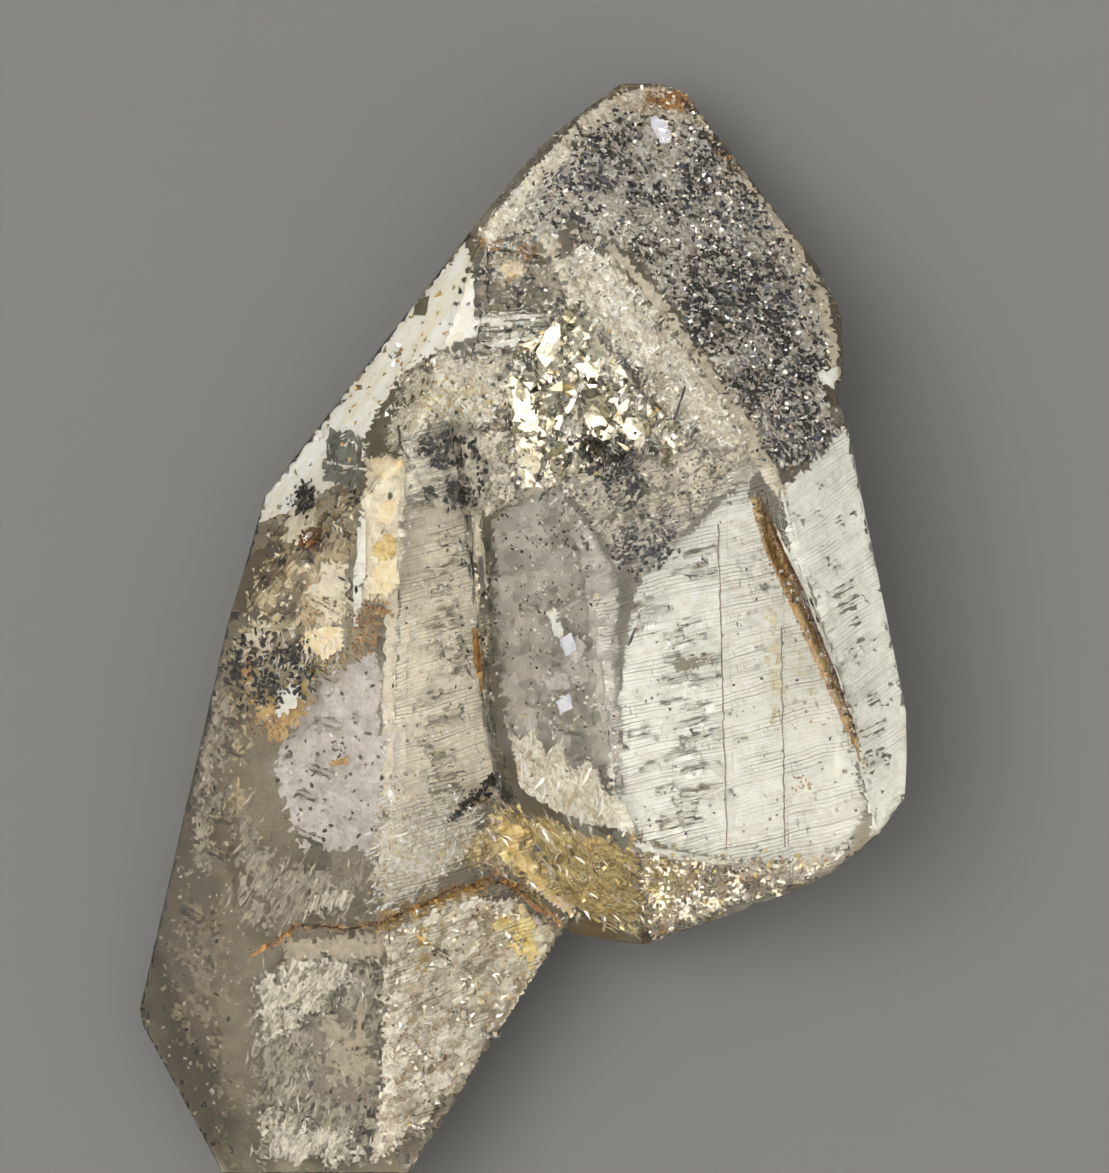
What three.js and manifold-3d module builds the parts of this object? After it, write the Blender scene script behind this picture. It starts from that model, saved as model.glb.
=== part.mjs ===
// Two quartz crystals grown together side by side: a stout right-hand crystal that ends in a blunted point
// and in a broken base, and a longer left-hand crystal that ends in a second point at its foot.
// The specimen lies on its flat back. Millimetres; +Z is up, +Y runs towards the blunted point,
// and the origin is under the middle of the specimen, on the surface that it rests on.
import * as THREE from "three";
import { ConvexGeometry } from "three/addons/geometries/ConvexGeometry.js";
import { mergeVertices } from "three/addons/utils/BufferGeometryUtils.js";
import Module from "manifold-3d";

const wasm = await Module();
wasm.setup();

// Driving sizes of the specimen.
const BLOCK_SIZE = 160; // edge of the rough block that the faces are cut from
const BAND_WIDTH_DROP = 0.2; // how far the narrow face between the two large top faces cuts in
const GROWTH_STEP = 0.15; // height of each long growth step on the front prism face
const LEFT_TOP_STEP = 0.25; // how much lower the left crystal's own top faces stand
const LEDGE_LIFT = 0.6; // how far a cutting wedge stands out of the face that it cuts
const RANDOM_SEED = 20417;

const QUARTZ_COLOUR = 0xe4e0d2;
const QUARTZ_ROUGHNESS = 0.08;

// A point inside each crystal, which tells the inner side of a face from the outer one.
const RIGHT_HEART = new THREE.Vector3(8, 4, 7);
const LEFT_HEART = new THREE.Vector3(-9, -6, 4.5);

// The middle of the finished specimen in the layout below; everything is moved so that it is the origin.
const LAYOUT_MIDDLE = new THREE.Vector3(-0.14, -0.06, 0);

const point = (x, y, z) => new THREE.Vector3(x, y, z);

// Steady random numbers from 0 to 1, so that every build gives the same crystal.
function randomSource(seed) {
  let state = seed;
  return () => {
    state = (state + 0x6d2b79f5) | 0;
    let mixed = Math.imul(state ^ (state >>> 15), 1 | state);
    mixed = (mixed + Math.imul(mixed ^ (mixed >>> 7), 61 | mixed)) ^ mixed;
    return ((mixed ^ (mixed >>> 14)) >>> 0) / 4294967296;
  };
}
const random = randomSource(RANDOM_SEED);
const between = (low, high) => low + (high - low) * random();

// A face that leans towards a compass angle in the XY plane (0 is +X, 90 is +Y, degrees) and slopes
// that many degrees from level. Over 90 degrees it faces down, as the under side of a crystal does.
function leaningFace(through, leansTo, slope) {
  const turn = THREE.MathUtils.degToRad(leansTo);
  const tilt = THREE.MathUtils.degToRad(slope);
  const normal = point(Math.sin(tilt) * Math.cos(turn), Math.sin(tilt) * Math.sin(turn), Math.cos(tilt));
  return new THREE.Plane().setFromNormalAndCoplanarPoint(normal, through);
}

// A face through three of its points, turned so that its normal points away from the crystal's heart.
function faceThrough(a, b, c, heart) {
  const plane = new THREE.Plane().setFromCoplanarPoints(a, b, c);
  return plane.distanceToPoint(heart) > 0 ? plane.negate() : plane;
}

const lowered = (plane, depth) => new THREE.Plane(plane.normal.clone(), plane.constant + depth);

// The point of a face right above or below a place in the XY plane.
function onFace(plane, x, y) {
  const { normal, constant } = plane;
  return point(x, y, -(constant + normal.x * x + normal.y * y) / normal.z);
}

function toSolid(geometry) {
  const bare = geometry.clone();
  bare.deleteAttribute("normal");
  bare.deleteAttribute("uv");
  const merged = mergeVertices(bare, 1e-4);
  return new wasm.Manifold(
    new wasm.Mesh({
      numProp: 3,
      vertProperties: merged.attributes.position.array,
      triVerts: new Uint32Array(merged.index.array),
    }),
  );
}

function toGeometry(solid) {
  const { vertProperties, triVerts } = solid.getMesh();
  const geometry = new THREE.BufferGeometry();
  geometry.setAttribute("position", new THREE.BufferAttribute(vertProperties, 3));
  geometry.setIndex(new THREE.BufferAttribute(triVerts, 1));
  geometry.computeVertexNormals();
  return geometry;
}

const convexSolid = (points) => toSolid(new ConvexGeometry(points));

// A large block whose one side lies on the plane and which fills everything outside it.
function outsideOf(plane) {
  const block = new THREE.BoxGeometry(BLOCK_SIZE, BLOCK_SIZE, BLOCK_SIZE);
  block.translate(0, 0, BLOCK_SIZE / 2);
  const turn = new THREE.Quaternion().setFromUnitVectors(point(0, 0, 1), plane.normal);
  block.applyQuaternion(turn);
  const foot = plane.projectPoint(point(0, 0, 0), point(0, 0, 0));
  block.translate(foot.x, foot.y, foot.z);
  return toSolid(block);
}

// The convex crystal that its flat faces shut in.
function crystalWithin(faces) {
  const block = new THREE.BoxGeometry(BLOCK_SIZE / 2, BLOCK_SIZE / 2, BLOCK_SIZE / 2);
  return faces.reduce((solid, face) => solid.subtract(outsideOf(face)), toSolid(block));
}

// A wedge that tapers to both ends, for an etched groove or the riser of a growth ledge.
// The start and end are places in the XY plane, and the groove follows the face between them.
function grooveWedge(face, start, end, width, depth) {
  const head = onFace(face, ...start);
  const tail = onFace(face, ...end);
  const along = tail.clone().sub(head).normalize();
  const across = face.normal.clone().cross(along);
  const out = face.normal;
  const middle = head.clone().lerp(tail, 0.5);
  const lifted = (p) => p.clone().addScaledVector(out, LEDGE_LIFT);
  const sunk = (share) => head.clone().lerp(tail, share).addScaledVector(out, -depth);
  const beside = (share, side) => lifted(head.clone().lerp(tail, share).addScaledVector(across, side));
  const flare = (width * (depth + LEDGE_LIFT)) / depth / 2;
  return convexSolid([
    lifted(head),
    lifted(tail),
    beside(0.2, flare),
    beside(0.8, flare),
    beside(0.2, -flare * 0.35),
    beside(0.8, -flare * 0.35),
    sunk(0.25),
    sunk(0.75),
    lifted(middle),
  ]);
}

// Ledges scattered over a stretch of a face, all running the same way across the crystal.
function ledgesOn({ face, from, to, halfWidth, count, runsTo, width, depth, length }) {
  const turn = THREE.MathUtils.degToRad(runsTo);
  const step = new THREE.Vector2(Math.cos(turn), Math.sin(turn));
  return Array.from({ length: count }, (_, i) => {
    const share = (i + between(0.15, 0.85)) / count;
    const half = between(length[0], length[1]) / 2;
    const reach = Math.max(halfWidth - half, 0);
    const slide = between(-reach, reach);
    const x = from[0] + (to[0] - from[0]) * share + step.x * slide;
    const y = from[1] + (to[1] - from[1]) * share + step.y * slide;
    const start = [x - step.x * half, y - step.y * half];
    const end = [x + step.x * half, y + step.y * half];
    return grooveWedge(face, start, end, between(...width), between(...depth));
  });
}

// A crack along a run of points: each stretch is a wedge whose width and depth go over into the next.
function crackAlong(face, stations) {
  const centres = stations.map(({ at }) => onFace(face, ...at));
  const sections = stations.map(({ width, depth }, i) => {
    const ahead = centres[Math.min(i + 1, centres.length - 1)];
    const behind = centres[Math.max(i - 1, 0)];
    const across = face.normal.clone().cross(ahead.clone().sub(behind).normalize());
    const out = face.normal;
    const rim = centres[i].clone().addScaledVector(out, LEDGE_LIFT);
    return [
      rim.clone().addScaledVector(across, width * 0.75),
      rim.clone().addScaledVector(across, -width * 0.75),
      centres[i].clone().addScaledVector(across, width * 0.15).addScaledVector(out, -depth),
      centres[i].clone().addScaledVector(across, -width * 0.15).addScaledVector(out, -depth),
    ];
  });
  return sections.slice(1).map((section, i) => convexSolid([...sections[i], ...section]));
}

// A sharp-edged splinter of a random shape, whose middle stands off a place towards a direction.
function splinterAt(centre, size, towards) {
  const base = centre.clone().addScaledVector(towards, size * 0.35);
  const points = Array.from({ length: 7 }, () => {
    const away = point(between(-1, 1), between(-1, 1), between(-1, 1)).normalize();
    return base.clone().addScaledVector(away, size * between(0.75, 1.1));
  });
  return convexSolid(points);
}

// Splinters scattered over a patch of a face between two opposite corners. Raised ones are sunk in the
// face and stand out of it as lumps; the others stand off it, and chip it where they are taken away.
function splintersOver({ face, low, high, count, size, raised = false }) {
  const towards = raised ? face.normal.clone().negate() : face.normal;
  return Array.from({ length: count }, () => {
    const centre = onFace(face, between(low[0], high[0]), between(low[1], high[1]));
    return splinterAt(centre, between(...size), towards);
  });
}

// The face that lies lowest above a place: the surface of a convex crystal there.
const rimPoint = (tops, [x, y]) =>
  tops.map((face) => onFace(face, x, y)).reduce((lowest, p) => (p.z < lowest.z ? p : lowest));

// Side faces under an outline: each runs down and inwards from two neighbouring points of the rim,
// and reaches the resting surface drawn in from the rim by the overhang of its second point.
// A face whose second point says follows meets the rim along its whole stretch, and the others run level.
function sideFaces(outline, tops, heart) {
  return outline.slice(1).map(({ at, overhang, follows = false }, i) => {
    const start = rimPoint(tops, outline[i].at);
    const end = rimPoint(tops, at);
    if (!follows) {
      start.z = (start.z + end.z) / 2;
      end.z = start.z;
    }
    const along = end.clone().sub(start).setZ(0).normalize();
    const inward = point(-along.y, along.x, 0);
    const middle = start.clone().lerp(end, 0.5);
    if (inward.dot(heart.clone().sub(middle)) < 0) {
      inward.negate();
    }
    const foot = middle.addScaledVector(inward, overhang).setZ(0);
    return faceThrough(start, end, foot, heart);
  });
}

// The stretch of a face past a line, lowered by a step.
function stepDown(face, linePlane, depth) {
  return outsideOf(lowered(face, depth)).intersect(outsideOf(linePlane));
}

// A shallow pit with a flat floor: its corners lie on the face, and its walls lean in a little.
function terracePit(face, corners, depth) {
  const rim = corners.map((corner) => onFace(face, ...corner));
  const middle = rim.reduce((sum, p) => sum.add(p), point(0, 0, 0)).divideScalar(rim.length);
  const floor = rim.map((p) => p.clone().lerp(middle, 0.12).addScaledVector(face.normal, -depth));
  const lid = rim.map((p) => p.clone().addScaledVector(face.normal, LEDGE_LIFT));
  return convexSolid([...lid, ...floor]);
}

// Large faces of the right-hand crystal.
const ridgeFoot = point(12.6, 9.7, 17.5);
const phantomFace = leaningFace(ridgeFoot, 58, 40);
const frontTopFace = leaningFace(ridgeFoot, 120, 20);
const leftTopFace = leaningFace(point(-2.15, 21.95, 10.9), 150, 55);
const wideFront = leaningFace(point(3.35, 6.2, 16.5), -80, 9);
const rightFront = leaningFace(point(13.1, 7.2, 16.4), 4.2, 38);
const innerLeft = leaningFace(point(3.35, 6.2, 16.5), 197, 40);
const baseRight = leaningFace(point(9.35, -8.6, 14.0), -99, 58);
const baseLeft = faceThrough(point(-0.9, -5.8, 10.15), point(3.85, -8.3, 13.35), point(2.1, -12.4, 6.6), RIGHT_HEART);
const back = leaningFace(point(0, 0, 0), 0, 180);

// The band is the narrow face that takes the edge off between the phantom face and the front top face.
const bandNormal = phantomFace.normal.clone().add(frontTopFace.normal).normalize();
const bandFoot = ridgeFoot.clone().addScaledVector(bandNormal, -BAND_WIDTH_DROP);
const bandFace = new THREE.Plane().setFromNormalAndCoplanarPoint(bandNormal, bandFoot);

const rightTops = [phantomFace, frontTopFace, leftTopFace, wideFront, rightFront, innerLeft, baseRight, baseLeft, bandFace];

// The right crystal's outline seen from above, from its upper left clockwise round to its base.
const rightOutline = [
  { at: [-2.75, 21.95] },
  { at: [2.9, 29.05], overhang: 2.7 },
  { at: [3.9, 29.95], overhang: 2.6 },
  { at: [5.95, 30.5], overhang: 3.2 },
  { at: [8.6, 29.8], overhang: 3.4 },
  { at: [9.85, 28.0], overhang: 3.2 },
  { at: [14.0, 22.15], overhang: 2.9, follows: true },
  { at: [15.3, 20.05], overhang: 2.4 },
  { at: [15.95, 18.4], overhang: 2.0 },
  { at: [19.1, -0.5], overhang: 4.6, follows: true },
  { at: [19.1, -4.3], overhang: 4.2 },
  { at: [18.95, -6.6], overhang: 3.0 },
  { at: [18.1, -7.85], overhang: 2.2 },
  { at: [16.1, -8.95], overhang: 1.4 },
  { at: [5.85, -13.25], overhang: 4.6, follows: true },
  { at: [2.1, -12.5], overhang: 4.2 },
];

// The closing face on the left stands inside the left crystal.
const rightFaces = [
  ...rightTops,
  back,
  leaningFace(point(-6.05, 11.3, 0), 160, 90),
  ...sideFaces(rightOutline, rightTops, RIGHT_HEART),
];

// Large faces of the left-hand crystal. Its own top stands a little lower, as a growth step.
const leftEdgeTop = point(-6.05, 11.3, 13.3);
const leftEdgeFoot = point(-6.7, -12.05, 11.6);
const leftFront = faceThrough(leftEdgeTop, leftEdgeFoot, point(-13.25, 7.2, 9.6), LEFT_HEART);
const innerRight = faceThrough(leftEdgeTop, leftEdgeFoot, point(-0.9, -5.8, 10.1), LEFT_HEART);
const edgeBevel = faceThrough(
  onFace(leftFront, -7.75, 11.0),
  onFace(innerRight, -6.0, 11.3),
  point(-6.35, 1.2, 12.57),
  LEFT_HEART,
);
const farLeft = faceThrough(
  point(-13.25, 7.2, 9.6),
  point(-14.25, -16.15, 7.8),
  point(-19.0, -16.55, 4.6),
  LEFT_HEART,
);
const footFront = faceThrough(point(-14.2, -15.5, 7.85), point(-6.7, -12.0, 11.6), point(-11, -30, 4.2), LEFT_HEART);
const footRight = faceThrough(
  point(-6.7, -12.0, 11.6),
  point(2.1, -12.3, 8.0),
  onFace(footFront, -6.2, -23.8),
  LEFT_HEART,
);
const footLeft = faceThrough(
  point(-14.25, -16.15, 7.8),
  point(-19, -17, 4.5),
  onFace(footFront, -14.15, -25.0),
  LEFT_HEART,
);
const leftTops = [
  lowered(frontTopFace, LEFT_TOP_STEP),
  lowered(leftTopFace, LEFT_TOP_STEP),
  leftFront,
  innerRight,
  edgeBevel,
  farLeft,
  footFront,
  footRight,
  footLeft,
];

// The left crystal's outline, from its foot's right side clockwise up to the shoulder.
const leftOutline = [
  { at: [2.0, -12.5] },
  { at: [-11.9, -30.4], overhang: 3.6, follows: true },
  { at: [-19.3, -17.3], overhang: 3.2, follows: true },
  { at: [-19.4, -16.2], overhang: 1.8 },
  { at: [-12.9, 9.6], overhang: 0.4 },
  { at: [1.85, 27.7], overhang: 2.7, follows: true },
];

// The last two faces close the left crystal where it is grown into the right one.
const leftFaces = [
  ...leftTops,
  back,
  ...sideFaces(leftOutline, leftTops, LEFT_HEART),
  lowered(phantomFace, 0.4),
  leaningFace(point(1.2, 26.8, 0), 7, 90),
];

// The steps, ledges, cracks, pits and chips in the faces.
function growthSteps() {
  const shoulder = leaningFace(point(15.6, 14.9, 12), -60, 90);
  const upperSide = leaningFace(point(15.95, 18.35, 9.9), -5, 98);
  const lowerSide = leaningFace(point(15.98, 13.3, 13.6), 12.7, 98);
  return [
    stepDown(wideFront, leaningFace(point(10.3, 0, 0), 1.5, 90), GROWTH_STEP),
    stepDown(wideFront, leaningFace(point(13.0, 0, 0), 1.5, 90), 2 * GROWTH_STEP),
    outsideOf(lowerSide).intersect(outsideOf(shoulder)),
    outsideOf(upperSide).intersect(outsideOf(shoulder.clone().negate())),
  ];
}

const growthLedges = [
  { face: wideFront, from: [7.4, 6.3], to: [8.1, -7.2], halfWidth: 3.0, count: 26, runsTo: 14 },
  { face: wideFront, from: [11.6, 5.6], to: [12.9, -6.6], halfWidth: 1.2, count: 7, runsTo: 16 },
  { face: rightFront, from: [15.1, 9.4], to: [17.6, -4.6], halfWidth: 1.3, count: 14, runsTo: 26 },
  { face: innerRight, from: [-3.9, 7.6], to: [-3.9, -6.4], halfWidth: 1.9, count: 24, runsTo: 13 },
  { face: leftFront, from: [-9.6, 5.5], to: [-10.6, -11.2], halfWidth: 2.5, count: 8, runsTo: -20 },
  { face: innerLeft, from: [1.2, 5.2], to: [2.2, -3.8], halfWidth: 1.9, count: 4, runsTo: -15 },
  { face: farLeft, from: [-13.6, 2.5], to: [-16.3, -12.6], halfWidth: 1.0, count: 6, runsTo: -24 },
];

const phantomGroove = [
  { at: [11.6, 9.35], width: 0.3, depth: 0.4 },
  { at: [12.45, 6.95], width: 0.9, depth: 1.1 },
  { at: [13.85, 4.2], width: 0.9, depth: 1.3 },
  { at: [15.35, 0.6], width: 0.6, depth: 1.0 },
  { at: [16.75, -3.05], width: 0.15, depth: 0.3 },
];

const footCrack = [
  { at: [-13.15, -13.3], width: 0.2, depth: 0.2 },
  { at: [-11.15, -12.05], width: 0.35, depth: 0.4 },
  { at: [-9.15, -12.1], width: 0.35, depth: 0.4 },
  { at: [-7.15, -12.05], width: 0.4, depth: 0.4 },
  { at: [-5.15, -11.1], width: 0.45, depth: 0.5 },
  { at: [-3.15, -10.35], width: 0.5, depth: 0.6 },
  { at: [-1.15, -9.75], width: 0.45, depth: 0.6 },
  { at: [0.35, -10.55], width: 0.4, depth: 0.5 },
  { at: [1.35, -11.55], width: 0.3, depth: 0.4 },
];

const seamGroove = [
  { at: [-2.3, 8.7], width: 0.2, depth: 0.25 },
  { at: [-2.05, 4.2], width: 0.3, depth: 0.45 },
  { at: [-2.25, 1.7], width: 0.35, depth: 0.5 },
  { at: [-1.9, -1.8], width: 0.3, depth: 0.5 },
  { at: [-1.3, -4.4], width: 0.35, depth: 0.6 },
  { at: [-1.9, -5.5], width: 0.7, depth: 0.8 },
  { at: [-3.0, -6.4], width: 0.3, depth: 0.3 },
];

const windowTerraces = [
  { face: frontTopFace, corners: [[-2.0, 22.0], [1.3, 21.5], [1.5, 19.4], [-1.9, 19.1]], depth: 0.45 },
  { face: frontTopFace, corners: [[-2.3, 18.6], [1.6, 18.9], [1.7, 17.9], [-2.5, 17.5]], depth: 0.3 },
  { face: frontTopFace, corners: [[-2.6, 17.1], [1.3, 17.5], [1.4, 16.6], [-2.8, 16.1]], depth: 0.25 },
  { face: lowered(leftTopFace, LEFT_TOP_STEP), corners: [[-9.9, 12.1], [-8.3, 12.6], [-8.0, 10.9], [-9.5, 10.5]], depth: 0.35 },
  { face: lowered(leftTopFace, LEFT_TOP_STEP), corners: [[-6.4, 15.6], [-4.9, 16.6], [-4.6, 14.6], [-6.0, 13.7]], depth: 0.25 },
];

const chippedPatches = [
  { face: frontTopFace, low: [1.2, 12.6], high: [7.6, 17.8], count: 15, size: [0.4, 1.0] },
  { face: phantomFace, low: [4.4, 27.4], high: [8.6, 29.2], count: 5, size: [0.4, 0.8] },
  { face: baseRight, low: [6.0, -11.6], high: [16.2, -9.2], count: 14, size: [0.5, 1.2] },
  { face: baseLeft, low: [0.4, -10.6], high: [3.6, -8.0], count: 5, size: [0.4, 0.9] },
  { face: footRight, low: [-5.8, -20.5], high: [-0.6, -12.6], count: 14, size: [0.4, 1.2] },
  { face: footFront, low: [-12.6, -23.5], high: [-7.6, -15.5], count: 8, size: [0.4, 0.9] },
  { face: lowered(leftTopFace, LEFT_TOP_STEP), low: [-10.6, 10.8], high: [-6.6, 12.4], count: 4, size: [0.4, 0.8] },
  { face: leftFront, low: [-12.4, 2.6], high: [-8.4, 8.6], count: 9, size: [0.4, 1.0] },
  { face: back, low: [-9, -14], high: [9, 14], count: 9, size: [0.4, 0.9] },
];

const lumpyPatches = [
  { face: frontTopFace, low: [0.6, 11.0], high: [7.2, 17.4], count: 11, size: [0.4, 0.8] },
  { face: baseRight, low: [5.6, -12.2], high: [15.6, -9.4], count: 12, size: [0.5, 1.0] },
  { face: baseLeft, low: [0.6, -10.4], high: [3.8, -7.6], count: 5, size: [0.4, 0.8] },
  { face: footRight, low: [-5.6, -19.5], high: [-1.0, -13.4], count: 10, size: [0.5, 1.0] },
  { face: leftFront, low: [-12.2, 3.2], high: [-8.2, 8.2], count: 7, size: [0.4, 0.8] },
];

function surfaceCuts() {
  const ledgeSizes = { width: [0.2, 0.5], depth: [0.1, 0.22], length: [1.2, 3.8] };
  return [
    ...growthSteps(),
    ...growthLedges.flatMap((stretch) => ledgesOn({ ...stretch, ...ledgeSizes })),
    ...crackAlong(wideFront, phantomGroove),
    ...crackAlong(innerRight, footCrack.slice(3)),
    ...crackAlong(leftFront, footCrack.slice(0, 4)),
    ...crackAlong(innerRight, seamGroove),
    ...windowTerraces.map(({ face, corners, depth }) => terracePit(face, corners, depth)),
    ...chippedPatches.flatMap(splintersOver),
  ];
}

// The largest of the bodies that a solid consists of, without the crumbs that cuts leave.
const mainBody = (solid) => solid.decompose().reduce((main, body) => (body.volume() > main.volume() ? body : main));

function makeQuartzCrystal() {
  const right = crystalWithin(rightFaces);
  const left = crystalWithin(leftFaces);
  const lumps = lumpyPatches.flatMap((patch) => splintersOver({ ...patch, raised: true }));
  const grown = lumps.reduce((solid, lump) => solid.add(lump), right.add(left));
  const cut = surfaceCuts().reduce((solid, cutter) => solid.subtract(cutter), grown);
  const geometry = toGeometry(mainBody(cut));
  geometry.translate(-LAYOUT_MIDDLE.x, -LAYOUT_MIDDLE.y, -LAYOUT_MIDDLE.z);
  const mesh = new THREE.Mesh(
    geometry,
    new THREE.MeshStandardMaterial({ color: QUARTZ_COLOUR, roughness: QUARTZ_ROUGHNESS, metalness: 0 }),
  );
  mesh.name = "quartz_crystal";
  return mesh;
}

const specimen = new THREE.Group();
specimen.name = "black_phantom_quartz";
specimen.add(makeQuartzCrystal());

export default specimen;
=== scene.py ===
"""Black phantom quartz: two clear crystals grown together, with a veil of black flakes under one face."""
import math

import bmesh
import bpy
import numpy as np
from bpy.props import FloatProperty, FloatVectorProperty, PointerProperty
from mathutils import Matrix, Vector, noise
from mathutils.bvhtree import BVHTree
from mathutils.geometry import delaunay_2d_cdt


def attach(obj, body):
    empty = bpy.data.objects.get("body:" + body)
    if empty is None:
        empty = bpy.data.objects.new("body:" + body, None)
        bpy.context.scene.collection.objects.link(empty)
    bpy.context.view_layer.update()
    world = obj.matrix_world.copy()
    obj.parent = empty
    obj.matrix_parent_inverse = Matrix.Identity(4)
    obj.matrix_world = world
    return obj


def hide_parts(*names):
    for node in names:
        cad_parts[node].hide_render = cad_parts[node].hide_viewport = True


bl_info = {
    "name": "Black Phantom Quartz",
    "version": (1, 0, 0),
    "blender": (4, 5, 0),
    "location": "3D View > Sidebar > Phantom Quartz",
    "description": "Clear twin crystal with black flakes, iron stains and milky veils inside",
    "category": "Add Mesh",
}

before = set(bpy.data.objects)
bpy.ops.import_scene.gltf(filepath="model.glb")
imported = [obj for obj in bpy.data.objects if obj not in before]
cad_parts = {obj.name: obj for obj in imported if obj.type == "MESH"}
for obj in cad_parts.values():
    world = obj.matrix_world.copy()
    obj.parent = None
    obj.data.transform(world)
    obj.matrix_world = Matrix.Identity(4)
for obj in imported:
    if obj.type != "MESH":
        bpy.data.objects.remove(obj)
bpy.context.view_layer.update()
# Vector noise starts from the clock unless it is given a seed
noise.seed_set(7)
CRYSTAL = "quartz_crystal"
BODY = "root"

# Lengths in the script are millimetres until a mesh is made
MM = 0.001
QUARTZ_IOR = 1.544
TINT_DENSITY = 14.0
CLEAR_ROUGHNESS = 0.015
GROWTH_HEIGHT = 0.05
BACK_GAP = 0.35

# The camera stands straight above the lying crystal, and picture pixels are read on a level plane
PICTURE_SIZE = (1109, 1173)
PIXEL = 0.05
PICTURE_LEVEL = 10.0
EYE = Vector((1.715, 4.935, 500.0))
SENSOR = 36.0


def linear(red, green, blue):
    """A colour given as screen values from 0 to 255, as the linear colour that shaders use."""
    return tuple(((c / 255 + 0.055) / 1.055) ** 2.4 if c > 10 else c / 255 / 12.92
                 for c in (red, green, blue))


def spot(x, y, width, height, turn=0.0):
    """A rounded outline around a pixel, turned anticlockwise by some degrees."""
    cosine, sine = math.cos(math.radians(turn)), math.sin(math.radians(turn))
    ring = [(math.cos(i * math.pi / 6) * width / 2, math.sin(i * math.pi / 6) * height / 2)
            for i in range(12)]
    return [(x + u * cosine + v * sine, y - u * sine + v * cosine) for u, v in ring]


def ribbon(line, *widths):
    """An outline along a line of pixels, with its widths spread from end to end."""
    left, right = [], []
    for i, (x, y) in enumerate(line):
        (ax, ay), (bx, by) = line[max(i - 1, 0)], line[min(i + 1, len(line) - 1)]
        half = np.interp(i / (len(line) - 1), np.linspace(0, 1, len(widths)), widths) / 2
        scale = half / math.hypot(bx - ax, by - ay)
        left.append((x + (by - ay) * scale, y - (bx - ax) * scale))
        right.append((x - (by - ay) * scale, y + (bx - ax) * scale))
    return left + right[::-1]


# Outlines on the picture, in its pixels
WHOLE = [(130, 70), (920, 70), (920, 1172), (130, 1172)]
PHANTOM = [(512, 216), (548, 166), (586, 122), (620, 108), (660, 116), (700, 122), (736, 168),
           (786, 236), (820, 292), (830, 345), (824, 384), (838, 424), (826, 448), (806, 462),
           (786, 470), (770, 452), (748, 414), (722, 378), (690, 332), (655, 286), (628, 254),
           (600, 238), (566, 226), (536, 238)]
TIP = [(584, 118), (612, 96), (640, 84), (676, 82), (704, 88), (724, 112), (748, 156), (724, 144),
       (690, 126), (650, 118), (616, 112), (596, 124)]
CREAM_SLOPE = [(556, 256), (586, 240), (606, 250), (630, 278), (655, 308), (690, 352), (722, 394),
               (744, 430), (758, 462), (722, 446), (690, 430), (655, 402), (628, 366), (600, 330),
               (576, 296)]
CRUSHED = [(536, 318), (566, 300), (600, 330), (632, 372), (668, 412), (700, 440), (668, 462),
           (640, 440), (612, 470), (570, 470), (548, 500), (520, 490), (508, 430), (504, 376)]
UPPER_LEFT = [(472, 246), (500, 208), (548, 152), (584, 118), (590, 150), (556, 250), (500, 240)]
LEFT_EDGE = [(466, 240), (474, 266), (478, 336), (440, 352), (404, 372), (384, 404), (366, 440),
             (362, 474), (326, 492), (300, 512), (258, 524), (262, 490), (280, 450), (322, 396),
             (372, 334), (412, 286), (438, 258)]
PANE = [(476, 240), (500, 232), (556, 262), (566, 300), (556, 352), (480, 356), (476, 300)]
SIDE_CREAM = [(400, 372), (440, 348), (506, 352), (510, 400), (500, 432), (460, 430), (424, 436),
              (398, 452), (384, 430)]
PRISM_FACE = [(622, 640), (632, 592), (660, 548), (700, 520), (722, 494), (748, 480), (764, 516),
              (780, 560), (806, 620), (836, 690), (860, 760), (868, 806), (852, 850), (800, 868),
              (730, 860), (690, 862), (648, 844), (616, 810), (616, 700)]
RIGHT_FACE = [(776, 480), (806, 466), (834, 436), (850, 400), (864, 440), (882, 520), (898, 610),
              (912, 700), (914, 796), (900, 842), (868, 852), (866, 806), (860, 750), (836, 680), (806, 606),
              (786, 550)]
FLAMES = [(506, 722), (520, 740), (534, 724), (546, 752), (560, 738), (576, 770), (590, 756),
          (606, 790), (622, 800), (640, 836), (600, 828), (556, 812), (520, 790)]
GOLD = [(500, 804), (540, 812), (600, 832), (640, 846), (652, 900), (640, 938), (590, 926),
        (560, 916), (530, 890), (500, 868), (470, 876), (456, 850), (478, 822)]
BASE_RIM = [(640, 850), (700, 860), (780, 862), (850, 848), (838, 862), (780, 892), (730, 908),
            (690, 930), (650, 942), (644, 900)]
ETCHED_LEFT = [(380, 800), (440, 792), (480, 806), (476, 850), (440, 884), (400, 908), (372, 916),
               (370, 850)]
INNER_FACE = [(392, 500), (474, 496), (484, 560), (490, 660), (490, 740), (506, 800), (450, 812),
              (380, 812), (384, 700), (390, 600)]
SIDE_WINDOW = [(300, 690), (330, 660), (386, 640), (390, 740), (388, 856), (290, 852), (270, 770)]
DARK_WINDOW = [(488, 516), (520, 496), (560, 484), (592, 520), (622, 580), (620, 700), (614, 800),
               (560, 776), (506, 742), (490, 640)]
LOWER_LEFT = [(228, 770), (290, 850), (388, 856), (374, 920), (300, 934), (240, 944), (216, 860)]
STAINED_SIDE = [(276, 500), (330, 484), (366, 480), (366, 600), (330, 660), (260, 730), (222, 720),
                (236, 620), (256, 560)]
DARK_SIDE = [(236, 640), (256, 700), (234, 770), (240, 940), (240, 1172), (130, 1172), (130, 860),
             (176, 720), (226, 600)]
MIDDLE = [(556, 452), (600, 432), (650, 442), (700, 440), (746, 466), (716, 490), (690, 520),
          (656, 546), (640, 580), (616, 566), (590, 520), (566, 484)]
CLEAR_BLOCK = [(668, 448), (712, 452), (722, 486), (700, 500), (664, 492)]
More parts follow.
